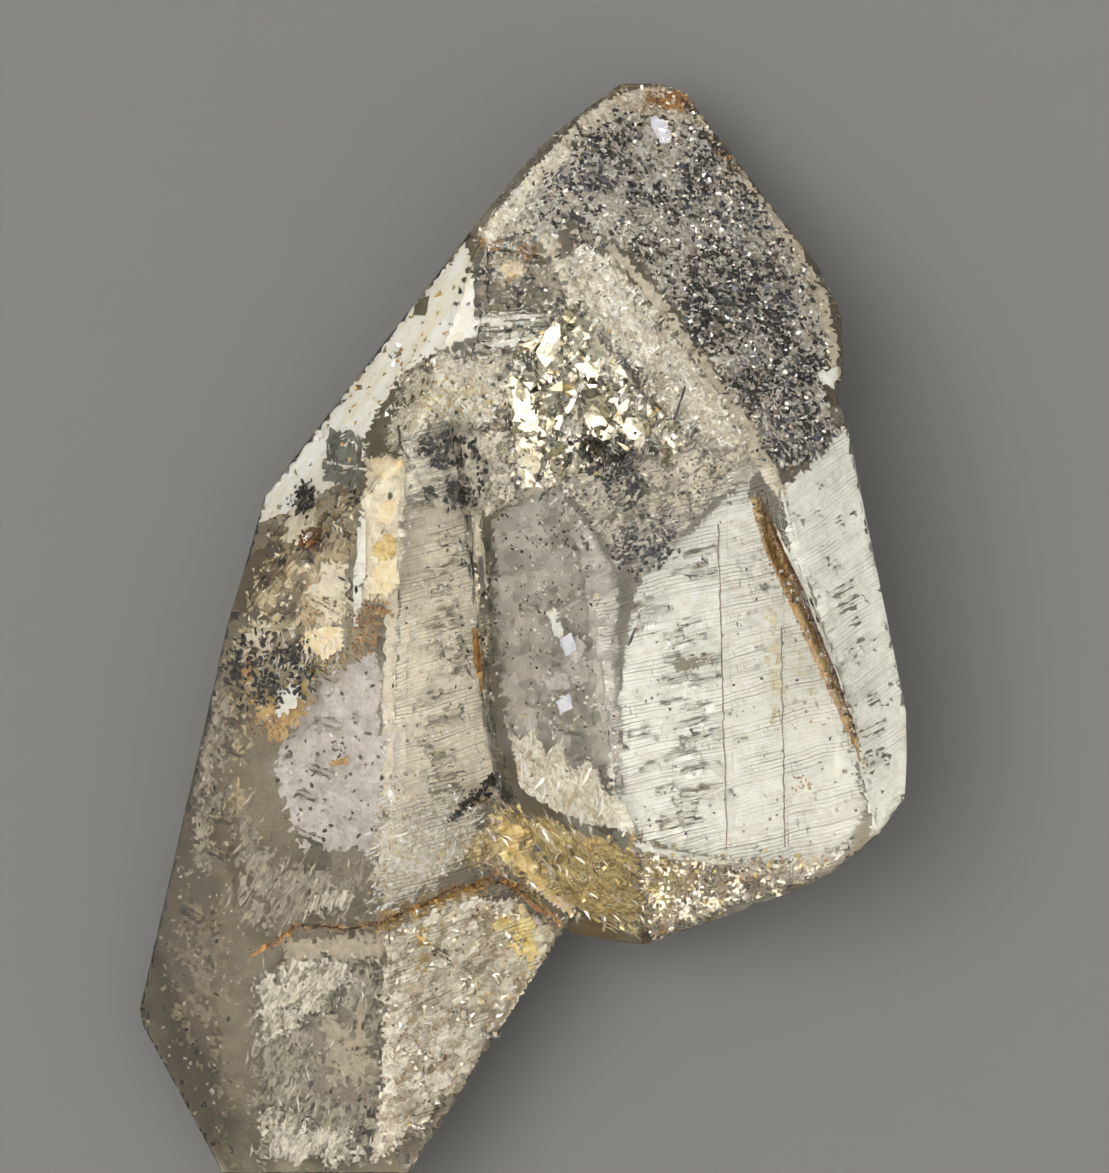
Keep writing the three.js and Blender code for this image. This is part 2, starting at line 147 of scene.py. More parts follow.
FOOT_CENTRE = [(248, 972), (300, 944), (350, 946), (400, 956), (396, 1060), (384, 1150),
               (364, 1172), (258, 1172), (238, 1100), (240, 1020)]
FOOT_RIGHT = [(382, 930), (470, 892), (520, 896), (566, 934), (524, 1000), (474, 1070),
              (424, 1130), (366, 1172), (378, 1060)]
CLEAR_BAND = ribbon([(566, 228), (608, 244), (655, 298), (696, 352), (738, 410), (764, 462),
                     (786, 500)], 10, 16, 20, 20)
LEFT_RIM = ribbon([(482, 242), (518, 202), (552, 162), (590, 122), (622, 102), (664, 94), (700, 104),
                   (722, 132)], 22)
RIGHT_RIM = ribbon([(722, 132), (754, 184), (792, 246), (818, 296), (832, 344), (836, 384)], 14, 20, 14)
GROOVE = ribbon([(754, 496), (773, 549), (797, 600), (828, 672), (857, 745), (868, 775)],
                10, 17, 13, 9, 5, 3)
CRACK_LINE = [(252, 957), (264, 947), (278, 943), (290, 932), (297, 921), (304, 930), (324, 926),
              (345, 930), (366, 925), (388, 920), (407, 911), (430, 902), (441, 893), (456, 889),
              (474, 885), (488, 878), (497, 871), (507, 883), (522, 893), (536, 909), (552, 915),
              (566, 931)]
CRACK = ribbon(CRACK_LINE, 4, 7, 3, 4, 6, 5, 8, 4)
SEAM = ribbon([(478, 512), (487, 560), (492, 620), (490, 655), (485, 700), (497, 752), (512, 800)],
              5, 6, 8, 8, 7, 8, 10)
VALLEY = ribbon([(450, 822), (470, 800), (492, 780), (512, 800)], 6, 10, 14, 8)

# Broken faces: outline, share along the break, facet size and slope, seed, depth, frost and rust
BROKEN_FACES = [
    (CRUSHED, None, 1.1, 0.55, 21, 0.15, 0.5, 0.0),
    (CREAM_SLOPE, None, 0.8, 0.22, 22, 0.0, 0.4, 0.0),
    (BASE_RIM, None, 0.9, 0.5, 23, 0.0, 0.6, 0.35),
    (GOLD, 0.45, 0.8, 0.4, 24, 0.0, 0.2, 0.35),
    (FOOT_RIGHT, 0.5, 0.9, 0.35, 25, 0.0, 0.8, 0.0),
]

# Growth lines: a face's direction, their angle from the picture's horizontal in degrees, and their strength
FACE_LINES = [
    ((0.03, -0.15, 1.0), 13.0, 1.0),
    ((0.61, 0.05, 0.79), 24.0, 0.7),
    ((-0.62, -0.19, 0.76), -15.0, 0.1),
    ((0.4, -0.3, 0.87), 13.0, 1.0),
    ((-0.45, -0.2, 0.87), -20.0, 0.1),
    ((0.33, 0.52, 0.79), -52.0, 0.1),
    ((-0.17, 0.3, 0.94), -50.0, 0.2),
]
FACE_NORMALS = np.array([n for n, _, _ in FACE_LINES])
FACE_NORMALS /= np.linalg.norm(FACE_NORMALS, axis=1, keepdims=True)


def picture_to_mm(px, py):
    """A picture pixel as millimetres on the picture plane."""
    return EYE.x + (px - PICTURE_SIZE[0] / 2) * PIXEL, EYE.y + (PICTURE_SIZE[1] / 2 - py) * PIXEL


def crystal_surface():
    """The crystal's corners in millimetres, and its triangles, with shared corners merged."""
    bm = bmesh.new()
    bm.from_mesh(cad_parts[CRYSTAL].data)
    bmesh.ops.remove_doubles(bm, verts=bm.verts, dist=1e-6)
    bmesh.ops.triangulate(bm, faces=bm.faces)
    points = np.array([v.co for v in bm.verts]) / MM
    triangles = np.array([[v.index for v in f.verts] for f in bm.faces])
    bm.free()
    return points, triangles


SURFACE_POINTS, SURFACE_TRIANGLES = crystal_surface()
SURFACE_TREE = BVHTree.FromPolygons([tuple(p) for p in SURFACE_POINTS],
                                    [tuple(int(i) for i in t) for t in SURFACE_TRIANGLES])


def bend(direction, normal):
    """The direction of a line of sight after it enters the crystal."""
    ratio = 1 / QUARTZ_IOR
    facing = -direction.dot(normal)
    return ratio * direction + (ratio * facing - math.sqrt(1 - ratio ** 2 * (1 - facing ** 2))) * normal


def behind_surface(px, py, depth):
    """The point seen at a picture pixel, a depth behind the surface, or None beside the crystal."""
    x, y = picture_to_mm(px, py)
    direction = (Vector((x, y, PICTURE_LEVEL)) - EYE).normalized()
    hit, normal, _, _ = SURFACE_TREE.ray_cast(EYE, direction)
    if hit is None:
        return None
    if depth <= 0:
        return hit - normal * depth
    inward = bend(direction, normal)
    room = SURFACE_TREE.ray_cast(hit + inward * 0.02, inward)[3]
    if room is None:
        return None
    return hit + inward * max(min(depth, room - BACK_GAP), 0.04)


def edge_distance(outline, px, py):
    """Pixels from each point to the outline, positive inside; px and py are arrays."""
    nearest = np.full(px.shape, 1e9)
    odd = np.zeros(px.shape, bool)
    for (ax, ay), (bx, by) in zip(outline, outline[1:] + outline[:1]):
        dx, dy = bx - ax, by - ay
        along = np.clip(((px - ax) * dx + (py - ay) * dy) / (dx * dx + dy * dy), 0, 1)
        nearest = np.minimum(nearest, np.hypot(px - ax - along * dx, py - ay - along * dy))
        if dy:
            odd ^= ((ay > py) != (by > py)) & (px < ax + (py - ay) * dx / dy)
    return np.where(odd, nearest, -nearest)


def mesh_object(name, points, faces):
    """A new object with its place in its mesh; points are in millimetres."""
    mesh = bpy.data.meshes.new(name)
    mesh.from_pydata([tuple(c * MM for c in p) for p in points], [], [tuple(f) for f in faces])
    mesh.update()
    piece = bpy.data.objects.new(name, mesh)
    bpy.context.scene.collection.objects.link(piece)
    return piece


def resampled(outline, step, ragged, seed):
    """The outline with a point every step pixels, moved in and out by ragged pixels."""
    points = []
    for (ax, ay), (bx, by) in zip(outline, outline[1:] + outline[:1]):
        count = max(1, round(math.hypot(bx - ax, by - ay) / step))
        for i in range(count):
            x, y = ax + (bx - ax) * i / count, ay + (by - ay) * i / count
            shift = noise.noise_vector(Vector((x / 9, y / 9, seed))) * ragged
            fine = noise.noise_vector(Vector((x / 3, y / 3, seed + 7))) * ragged * 0.5
            points.append((x + shift.x + fine.x, y + shift.y + fine.y))
    return points


def sheet(outline, depth, step=8.0, ragged=4.0, seed=0, wave=0.15, fray=0.0):
    """Points and triangles of a sheet seen inside an outline, lying a depth behind the surface.

    It breaks up over the last fray pixels to its edge.
    """
    edge = resampled(outline, step, ragged, seed)
    (left, top), (right, bottom) = np.min(edge, 0), np.max(edge, 0)
    x, y = (side.ravel() for side in np.meshgrid(np.arange(left + step / 2, right, step),
                                                 np.arange(top + step / 2, bottom, step)))
    x += (smooth_noise(x / 2, y / 2, seed + 3) - 0.5) * step * 0.6
    y += (smooth_noise(x / 2, y / 2, seed + 4) - 0.5) * step * 0.6
    within = edge_distance(outline, x, y) > 0
    points = [Vector(p) for p in (*edge, *zip(x[within], y[within]))]
    loop = [(i, (i + 1) % len(edge)) for i in range(len(edge))]
    flat, _, faces, *_ = delaunay_2d_cdt(points, loop, [], 1, 0.05)
    order = sorted(range(len(flat)), key=lambda i: tuple(flat[i]))
    place = {old: new for new, old in enumerate(order)}
    flat = [flat[i] for i in order]
    faces = [[place[i] for i in f] for f in faces]
    faces = sorted(f[f.index(min(f)):] + f[:f.index(min(f))] for f in faces)
    placed, kept = [], {}
    for i, (x, y) in enumerate(flat):
        deep = depth * (1 + wave * noise.noise(Vector((x / 18, y / 18, seed + 5))))
        point = behind_surface(x, y, deep)
        if point is not None:
            kept[i] = len(placed)
            placed.append((point, x, y))
    faces = [[kept[i] for i in f] for f in faces if all(i in kept for i in f)]
    faces = [f for f in faces if longest_side([placed[i][0] for i in f]) < 4 * step * PIXEL]
    if fray:
        x, y = (np.array([sum(placed[i][axis] for i in f) / 3 for f in faces]) for axis in (1, 2))
        open_share = np.clip(1 - edge_distance(outline, x, y) / fray, 0, 1)
        pattern = 0.5 * smooth_noise(x / 9, y / 9, seed) + 0.5 * smooth_noise(x / 3, y / 3, seed + 1)
        faces = [f for f, whole in zip(faces, (pattern - 0.5) * 1.6 + 0.5 > open_share) if whole]
    return placed, faces


def longest_side(corners):
    """The longest distance between neighbouring corners."""
    return max((a - b).length for a, b in zip(corners, corners[1:] + corners[:1]))


def film_mesh(name, placed, faces, thickness):
    """A sheet as a closed mesh: its top, its underside and the walls along its edges."""
    count = len(placed)
    top = [p[0] for p in placed]
    bottom = [p - Vector((0, 0, thickness)) for p in top]
    faces = [facing_up(placed, f) for f in faces]
    sides = {(a, b) for f in faces for a, b in zip(f, f[1:] + f[:1])}
    walls = [(b, a, a + count, b + count) for a, b in sides if (b, a) not in sides]
    under = [[i + count for i in reversed(f)] for f in faces]
    piece = mesh_object(name, top + bottom, faces + under + walls)
    piece.data.shade_smooth()
    piece.data.set_sharp_from_angle(angle=math.radians(50))
    return piece


def facing_up(placed, face):
    """The face with its corners turned so that it looks at the camera."""
    (ax, ay), (bx, by), (cx, cy) = (placed[i][1:] for i in face)
    clockwise = (bx - ax) * (cy - ay) - (by - ay) * (cx - ax) > 0
    return face[::-1] if clockwise else face


def keep(piece):
    """Fixes a finished piece to the crystal's body."""
    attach(piece, BODY)
    return piece


def joined(name, pieces):
    """Several objects as one."""
    first, *others = pieces
    with bpy.context.temp_override(active_object=first, selected_editable_objects=pieces):
        bpy.ops.object.join()
    first.name = name
    first.data.name = name
    return first


def add(tree, kind, inputs=None, **settings):
    """A node with its settings and inputs; an input is a value or the socket that feeds it."""
    node = tree.nodes.new(kind)
    for key, value in settings.items():
        setattr(node, key, value)
    for key, value in (inputs or {}).items():
        if isinstance(value, bpy.types.NodeSocket):
            tree.links.new(value, node.inputs[key])
        else:
            node.inputs[key].default_value = value
    return node


def ramp(tree, factor, *stops):
    """A colour ramp; each stop is a position and a linear colour."""
    node = add(tree, "ShaderNodeValToRGB", {0: factor})
    elements = node.color_ramp.elements
    while len(elements) < len(stops):
        elements.new(1.0)
    for element, (position, colour) in zip(elements, stops):
        element.position = position
        element.color = (*colour, 1.0)
    return node.outputs[0]


def blended(tree, factor, first, second, blend="MIX"):
    """Two colours mixed; each is a colour or a socket."""
    node = add(tree, "ShaderNodeMix", {0: factor, 6: colour_input(first), 7: colour_input(second)},
               data_type="RGBA", blend_type=blend)
    return node.outputs[2]


def colour_input(value):
    """A colour with its alpha, or a socket as it is."""
    return value if isinstance(value, bpy.types.NodeSocket) else (*value, 1.0)


def combine(tree, operation, first, *others):
    """Numbers or sockets added, multiplied or otherwise combined from left to right."""
    for value in others:
        first = add(tree, "ShaderNodeMath", {0: first, 1: value}, operation=operation).outputs[0]
    return first


def attribute(tree, name):
    """A piece's own attribute as a number."""
    return add(tree, "ShaderNodeAttribute", attribute_name=name).outputs["Fac"]


def shader(name, **values):
    """A new material, its tree and its principled shader with plain values set."""
    material = bpy.data.materials.new(name)
    material.use_nodes = True
    tree = material.node_tree
    principled = tree.nodes["Principled BSDF"]
    for key, value in values.items():
        principled.inputs[key.replace("_", " ")].default_value = value
    return material, tree, principled


def scattered_noise(tree, scale, detail=3.0, roughness=0.6, vector=None, distortion=0.0):
    """A noise pattern on the object's own coordinates; scale is in waves per millimetre."""
    if vector is None:
        vector = add(tree, "ShaderNodeTexCoord").outputs["Object"]
    return add(tree, "ShaderNodeTexNoise",
               {"Vector": vector, "Scale": scale / MM, "Detail": detail, "Roughness": roughness,
                "Distortion": distortion}).outputs[0]


def stretched(tree, vector, across, along, turn=0.0):
    """A vector turned and scaled, for patterns longer one way than the other."""
    return add(tree, "ShaderNodeMapping",
               {"Vector": vector, "Rotation": (0, 0, math.radians(turn)), "Scale": (across, along, 1)}
               ).outputs[0]


def bump(tree, principled, height, distance, strength=1.0):
    """Sends a height pattern to the shader's normal; distance is in millimetres."""
    node = add(tree, "ShaderNodeBump",
               {"Height": height, "Distance": distance * MM, "Strength": strength})
    tree.links.new(node.outputs[0], principled.inputs["Normal"])


def clear_quartz(tint):
    """Clear crystal with growth lines, etched patches and a breath of iron."""
    material, tree, principled = shader("clear_quartz", IOR=QUARTZ_IOR, Transmission_Weight=1.0,
                                        Specular_IOR_Level=0.5)
    growth = add(tree, "ShaderNodeUVMap", uv_map="growth").outputs[0]
    warp = add(tree, "ShaderNodeTexNoise", {"Vector": growth, "Scale": 0.35, "Detail": 2.0})
    bent_growth = add(tree, "ShaderNodeVectorMath",
                      {0: growth, 1: add(tree, "ShaderNodeVectorMath",
                                         {0: warp.outputs["Color"], 3: 0.5},
                                         operation="SCALE").outputs[0]},
                      operation="ADD").outputs[0]
    wide = growth_blocks(tree, bent_growth, 4.2, 0.42, 0.022)
    narrow = growth_blocks(tree, bent_growth, 1.9, 0.19, 0.016)
    streaks = add(tree, "ShaderNodeTexNoise",
                  {"Vector": stretched(tree, growth, 0.25, 4.5), "Scale": 1.0, "Detail": 3.0}).outputs[0]
    lines = attribute(tree, "lines")
    frost = attribute(tree, "frost")
    patchy = combine(tree, "MULTIPLY", lines, ramp(tree, add(
        tree, "ShaderNodeTexNoise", {"Vector": stretched(tree, growth, 0.3, 0.8), "Scale": 1.0,
                                     "Detail": 2.0}).outputs[0],
        (0.38, (0.0, 0.0, 0.0)), (0.62, (1.0, 1.0, 1.0))))
    drawn = combine(tree, "MULTIPLY", patchy,
                    combine(tree, "MAXIMUM", wide.outputs["Fac"], narrow.outputs["Fac"]))
    etched = combine(tree, "SUBTRACT", 1.0, drawn)
    coordinates = add(tree, "ShaderNodeTexCoord").outputs["Object"]
    crystal_noise = scattered_noise(tree, 0.9, 5.0, 0.65, coordinates)
    iron = combine(tree, "MULTIPLY", attribute(tree, "rust"),
                   ramp(tree, crystal_noise, (0.38, (0.0, 0.0, 0.0)), (0.62, (1.0, 1.0, 1.0))))
    colour = blended(tree, etched, linear(120, 118, 110), linear(253, 253, 250))
    colour = blended(tree, iron, colour, linear(176, 112, 44), "MULTIPLY")
    tree.links.new(colour, principled.inputs["Base Color"])
    rough = combine(tree, "ADD", combine(tree, "MULTIPLY", frost, 0.28), CLEAR_ROUGHNESS,
                    combine(tree, "MULTIPLY", iron, 0.3))
    tree.links.new(rough, principled.inputs["Roughness"])
    steps = combine(tree, "ADD", wide.outputs["Color"],
                    combine(tree, "MULTIPLY", narrow.outputs["Color"], 0.5),
                    combine(tree, "MULTIPLY", streaks, 0.6))
    pits = combine(tree, "MULTIPLY", frost, scattered_noise(tree, 2.2, 4.0, 0.7, coordinates), 3.0)
    gentle = combine(tree, "MULTIPLY", scattered_noise(tree, 0.35, 3.0, 0.5, coordinates), 1.5)
    height = combine(tree, "ADD", combine(tree, "MULTIPLY", steps, lines), pits, gentle)
    bump(tree, principled, height, GROWTH_HEIGHT)
    absorb = add(tree, "ShaderNodeVolumeAbsorption", {"Color": (*tint, 1.0), "Density": TINT_DENSITY})
    output = next(n for n in tree.nodes if n.type == "OUTPUT_MATERIAL")
    tree.links.new(absorb.outputs[0], output.inputs["Volume"])
    return material


def growth_blocks(tree, vector, width, height, line):
    """Long rectangular growth steps in offset rows, sizes in millimetres."""
    return add(tree, "ShaderNodeTexBrick",
               {"Vector": vector, "Color1": (0, 0, 0, 1), "Color2": (1, 1, 1, 1),
                "Mortar": (0.3, 0.3, 0.3, 1), "Scale": 1.0, "Mortar Size": line,
                "Mortar Smooth": 0.4, "Bias": 0.0, "Brick Width": width, "Row Height": height},
               offset=0.37, offset_frequency=2, squash=0.8, squash_frequency=3)


# The darkest and lightest shade of each finish, as screen values
TONES = {
    "milk": ((228, 226, 214), (255, 255, 248)),
    "ivory": ((240, 234, 216), (255, 255, 252)),
    "ground": ((188, 172, 142), (255, 252, 238)),
    "speckled": ((170, 155, 134), (255, 251, 244)),
    "crushed": ((134, 118, 84), (255, 252, 238)),
    "broken": ((114, 102, 80), (250, 242, 224)),
    "stained": ((86, 70, 44), (208, 190, 152)),
    "smoky": ((112, 102, 84), (184, 174, 154)),
    # painted sheen: the rough foot's silvery reflection, as a streaked film
    "painted_silver_sheen": ((76, 66, 48), (188, 179, 158)),
    "torn": ((154, 132, 98), (255, 250, 234)),
    "rime": ((128, 106, 74), (255, 251, 238)),
    "feather": ((126, 116, 94), (238, 231, 214)),
    "glass": ((76, 77, 70), (134, 135, 126)),
    "golden": ((142, 120, 68), (250, 234, 174)),
    "haze": ((142, 134, 122), (204, 197, 188)),
    "cream": ((206, 192, 160), (252, 244, 224)),
    "pale": ((206, 190, 164), (255, 254, 250)),
    # partly yellow iron stain, partly painted glow: the bright yellow of lit yellow glass
    "gold_stain_and_glow": ((204, 170, 86), (255, 240, 174)),
    "butter": ((232, 206, 150), (255, 246, 220)),
    # painted highlight: small bluish-white glints laid as films inside the crystal
    "painted_glint": ((224, 224, 246), (250, 250, 255)),
    "sand": ((208, 197, 174), (244, 234, 214)),
    "straw": ((190, 178, 142), (222, 212, 180)),
    "beige": ((178, 166, 144), (218, 206, 184)),
    "stone": ((150, 139, 118), (192, 179, 154)),
    "shade": ((98, 88, 70), (152, 138, 114)),
    "taupe": ((100, 90, 76), (150, 138, 120)),
    "lilac": ((182, 174, 166), (224, 217, 212)),
    "amber": ((146, 114, 60), (210, 180, 112)),
    "gold": ((166, 128, 58), (240, 218, 146)),
    "ochre": ((126, 84, 38), (204, 160, 94)),
    "umber": ((58, 36, 20), (122, 82, 44)),
    "olive": ((58, 54, 38), (112, 104, 76)),
    "slate": ((56, 58, 66), (116, 118, 128)),
    "black": ((18, 14, 9), (60, 53, 42)),
}
FINISHES = {}

# Broken films show angular facets: size in millimetres, how much longer than wide, and their turn
FACETS = {
    "ivory": (0.8, 3.0, 50), "ground": (0.22, 1.3, -50), "speckled": (0.3, 1.4, -50),
    "crushed": (0.5, 2.0, 60), "broken": (0.35, 1.6, 20), "stained": (0.6, 1.8, 60),
    "smoky": (0.2, 4.0, 60), "painted_silver_sheen": (0.24, 3.0, 62), "torn": (0.35, 2.4, 40),
    "rime": (0.3, 1.5, 20), "feather": (0.24, 3.6, 60), "golden": (0.22, 4.0, 48), "haze": (1.1, 1.6, 25),
}


def grain_finish(tone):
    """An opaque mineral; its shade follows each grain's own number and a fine noise."""
    name = tone + "_grains"
    if name not in FINISHES:
        dark, light = (linear(*shade) for shade in TONES[tone])
        material, tree, principled = shader(name, Roughness=0.4)
        pattern = scattered_noise(tree, 3.0, 4.0, 0.65)
        mixed = combine(tree, "ADD", combine(tree, "MULTIPLY", attribute(tree, "shade"), 0.65),
                        combine(tree, "MULTIPLY", pattern, 0.35))
        tree.links.new(ramp(tree, mixed, (0.18, dark), (0.75, light)), principled.inputs["Base Color"])
        bump(tree, principled, pattern, 0.02)
        FINISHES[name] = material
    return FINISHES[name]


def film_finish(tone):
    """A film, cloudy between its two shades: iron oxide, milky quartz, and for some tones painted
    highlights, sheen and glow.
    """
    name = tone + "_film"
    if name not in FINISHES:
        dark, light = (linear(*shade) for shade in TONES[tone])
        material, tree, principled = shader(name, Roughness=0.6)
        pattern = scattered_noise(tree, 1.6, 6.0, 0.75, distortion=0.6)
        low, high = 0.36, 0.6
        if tone in FACETS:
            pattern = broken(tree, pattern, *FACETS[tone])
            low, high = 0.24, 0.74
        tree.links.new(ramp(tree, pattern, (low, dark), (high, light)), principled.inputs["Base Color"])
        bump(tree, principled, pattern, 0.06)
        FINISHES[name] = material
    return FINISHES[name]


def broken(tree, cloud, size, stretch, turn):
    """A pattern of angular facets, large and small, with clouds over them."""
    place = add(tree, "ShaderNodeTexCoord").outputs["Object"]
    total = combine(tree, "MULTIPLY", cloud, 0.3)
    for share, weight in ((1.0, 0.4), (0.4, 0.3)):
        wide = size * share * MM
        vector = add(tree, "ShaderNodeMapping",
                     {"Vector": place, "Rotation": (0, 0, math.radians(turn)),
                      "Scale": (wide * stretch, wide, wide)}, vector_type="TEXTURE").outputs[0]
        cells = add(tree, "ShaderNodeTexVoronoi", {"Vector": vector, "Scale": 1.0}).outputs["Color"]
        value = add(tree, "ShaderNodeSeparateColor", {0: cells}).outputs[0]
        total = combine(tree, "ADD", total, combine(tree, "MULTIPLY", value, weight))
    return total


# Added to a row's seed, so that place, turn, size and shade are drawn apart
PLACE_SALT, TURN_SALT, SIZE_SALT, SHADE_SALT = 11, 23, 37, 51
ROUGHEN_SCALE = 3500.0


def scatter_tree(grain):
    """Geometry nodes that scatter small grains over a carrier sheet and make them one mesh."""
    tree = bpy.data.node_groups.new("scatter_" + grain, "GeometryNodeTree")
    sockets = {}
    tree.interface.new_socket("Geometry", in_out="INPUT", socket_type="NodeSocketGeometry")
    for name, kind in (("Density", "Float"), ("Length", "Float"), ("Width", "Float"),
                       ("Thickness", "Float"), ("Spread", "Float"), ("Turn", "Float"),
                       ("Turn Spread", "Float"), ("Tilt", "Float"), ("Roughen", "Float"),
                       ("Seed", "Int"), ("Material", "Material")):
        socket = tree.interface.new_socket(name, in_out="INPUT", socket_type="NodeSocket" + kind)
        sockets[name] = socket.identifier
    tree.interface.new_socket("Geometry", in_out="OUTPUT", socket_type="NodeSocketGeometry")
    given = add(tree, "NodeGroupInput").outputs
    density = add(tree, "GeometryNodeInputNamedAttribute", {"Name": "density"}, data_type="FLOAT")
    amount = combine(tree, "MULTIPLY", density.outputs[0], given["Density"])
    points = add(tree, "GeometryNodeDistributePointsOnFaces",
                 {"Mesh": given["Geometry"], "Density": amount, "Seed": given["Seed"]})

    def random_vector(low, high, salt):
        """A vector drawn anew for each grain."""
        seed = combine(tree, "ADD", given["Seed"], salt)
        return add(tree, "FunctionNodeRandomValue", {0: low, 1: high, 8: seed},
                   data_type="FLOAT_VECTOR").outputs[0]

    def scaled(vector, factor):
        """A vector times a number."""
        return add(tree, "ShaderNodeVectorMath", {0: vector, 3: factor}, operation="SCALE").outputs[0]

    shifted = add(tree, "GeometryNodeSetPosition",
                  {"Geometry": points.outputs["Points"],
                   "Offset": scaled(random_vector((-1, -1, -1), (1, 1, 1), PLACE_SALT), given["Spread"])})
    turn_limits = add(tree, "ShaderNodeCombineXYZ",
                      {0: given["Tilt"], 1: given["Tilt"], 2: given["Turn Spread"]})
    wobble = add(tree, "ShaderNodeVectorMath",
                 {0: random_vector((-1, -1, -1), (1, 1, 1), TURN_SALT), 1: turn_limits.outputs[0]},
                 operation="MULTIPLY")
    turned = add(tree, "ShaderNodeVectorMath",
                 {0: wobble.outputs[0],
                  1: add(tree, "ShaderNodeCombineXYZ", {2: given["Turn"]}).outputs[0]},
                 operation="ADD")
    rotation = add(tree, "FunctionNodeEulerToRotation", {0: turned.outputs[0]})
    size = add(tree, "ShaderNodeVectorMath",
               {0: add(tree, "ShaderNodeCombineXYZ",
                       {0: given["Length"], 1: given["Width"], 2: given["Thickness"]}).outputs[0],
                1: random_vector((0.35, 0.4, 0.5), (1.5, 1.4, 1.5), SIZE_SALT)},
               operation="MULTIPLY")
    if grain == "crumb":
        body = add(tree, "GeometryNodeMeshIcoSphere", {"Radius": 0.5, "Subdivisions": 1}).outputs[0]
    elif grain == "shard":
        cone = add(tree, "GeometryNodeMeshCone",
                   {"Vertices": 3, "Radius Top": 0.18, "Radius Bottom": 0.6, "Depth": 1.0})
        body = add(tree, "GeometryNodeTransform",
                   {"Geometry": cone.outputs[0], "Translation": (0, 0, -0.5)}).outputs[0]
    else:
        body = add(tree, "GeometryNodeMeshCube", {"Size": (1, 1, 1)}).outputs[0]
    placed = add(tree, "GeometryNodeInstanceOnPoints",
                 {"Points": shifted.outputs[0], "Instance": body, "Rotation": rotation.outputs[0],
                  "Scale": size.outputs[0]})
    shade = add(tree, "FunctionNodeRandomValue",
                {2: 0.0, 3: 1.0, 8: combine(tree, "ADD", given["Seed"], SHADE_SALT)}, data_type="FLOAT")
    shaded = add(tree, "GeometryNodeStoreNamedAttribute",
                 {"Geometry": placed.outputs[0], "Name": "shade", "Value": shade.outputs[1]},
                 data_type="FLOAT", domain="INSTANCE")
    real = add(tree, "GeometryNodeRealizeInstances", {0: shaded.outputs[0]})
    rough = add(tree, "ShaderNodeTexNoise",
                {"Vector": add(tree, "GeometryNodeInputPosition").outputs[0], "Scale": ROUGHEN_SCALE,
                 "Detail": 1.0})
    centred = add(tree, "ShaderNodeVectorMath", {0: rough.outputs["Color"], 1: (0.5, 0.5, 0.5)},
                  operation="SUBTRACT")
    worn = add(tree, "GeometryNodeSetPosition",
               {"Geometry": real.outputs[0], "Offset": scaled(centred.outputs[0], given["Roughen"])})
    painted = add(tree, "GeometryNodeSetMaterial",
                  {"Geometry": worn.outputs[0], "Material": given["Material"]})
    tree.links.new(painted.outputs[0], add(tree, "NodeGroupOutput").inputs[0])
    return tree, sockets


TREES = {}


def scatter(name, outline, material, body="crumb", density=10.0, depth=0.7, length=0.2, width=0.15,
            thickness=0.1, spread=0.3, turn=0.0, turn_spread=180.0, tilt=40.0, roughen=0.08,
            patch=0.0, cover=1.0, lean=1.0, seed=1):
    """Grains behind the surface; density is per square millimetre in the patches they gather in."""
    placed, faces = sheet(outline, depth, step=6.0, ragged=3.0, seed=seed)
    carrier = mesh_object(name, [p[0] for p in placed], faces)
    px, py = (np.array([p[axis] for p in placed]) for axis in (1, 2))
    spread = min(spread, depth * 0.8)
    buried = [SURFACE_TREE.find_nearest(p[0])[3] > spread * 0.85 for p in placed]
    values = gathered(outline, px, py, patch, cover, lean, seed) * buried
    carrier.data.attributes.new("density", "FLOAT", "POINT").data.foreach_set(
        "value", values.astype(np.float32))
    if body not in TREES:
        TREES[body] = scatter_tree(body)
    tree, sockets = TREES[body]
    modifier = carrier.modifiers.new("grains", "NODES")
    modifier.node_group = tree
    for key, value in (("Density", density / MM ** 2), ("Length", length * MM), ("Width", width * MM),
                       ("Thickness", thickness * MM), ("Spread", spread * MM),
                       ("Turn", math.radians(turn)), ("Turn Spread", math.radians(turn_spread)),
                       ("Tilt", math.radians(tilt)), ("Roughen", roughen * MM), ("Seed", seed),
                       ("Material", material)):
        modifier[sockets[key]] = value
    bpy.context.view_layer.update()
    mesh = bpy.data.meshes.new_from_object(
        carrier.evaluated_get(bpy.context.evaluated_depsgraph_get()))
    carrier.modifiers.clear()
    carrier.data = mesh
    mesh.name = name
    if not mesh.polygons:
        raise RuntimeError(name + " has no grains")
    return carrier


def gathered(outline, px, py, patch, cover, lean, seed):
    """How thick the grains lie at each pixel: in patches, thinner at the outline and to the upper left."""
    fade = min(8, 0.2 * min(np.ptp(px), np.ptp(py)))
    share = np.clip(edge_distance(outline, px, py) / fade, 0.4, 1)
    if patch:
        cluster = (0.6 * smooth_noise(px / patch, py / patch, seed)
                   + 0.4 * smooth_noise(px / patch * 2.3, py / patch * 2.3, seed + 9))
        share = share * np.clip((cluster - 1 + cover) / 0.2 + 0.5, 0, 1)
    if lean < 1:
        down = np.clip((px - px.min() + py - py.min()) / np.ptp(px + py), 0, 1)
        share = share * (lean + (1 - lean) * down)
    return share


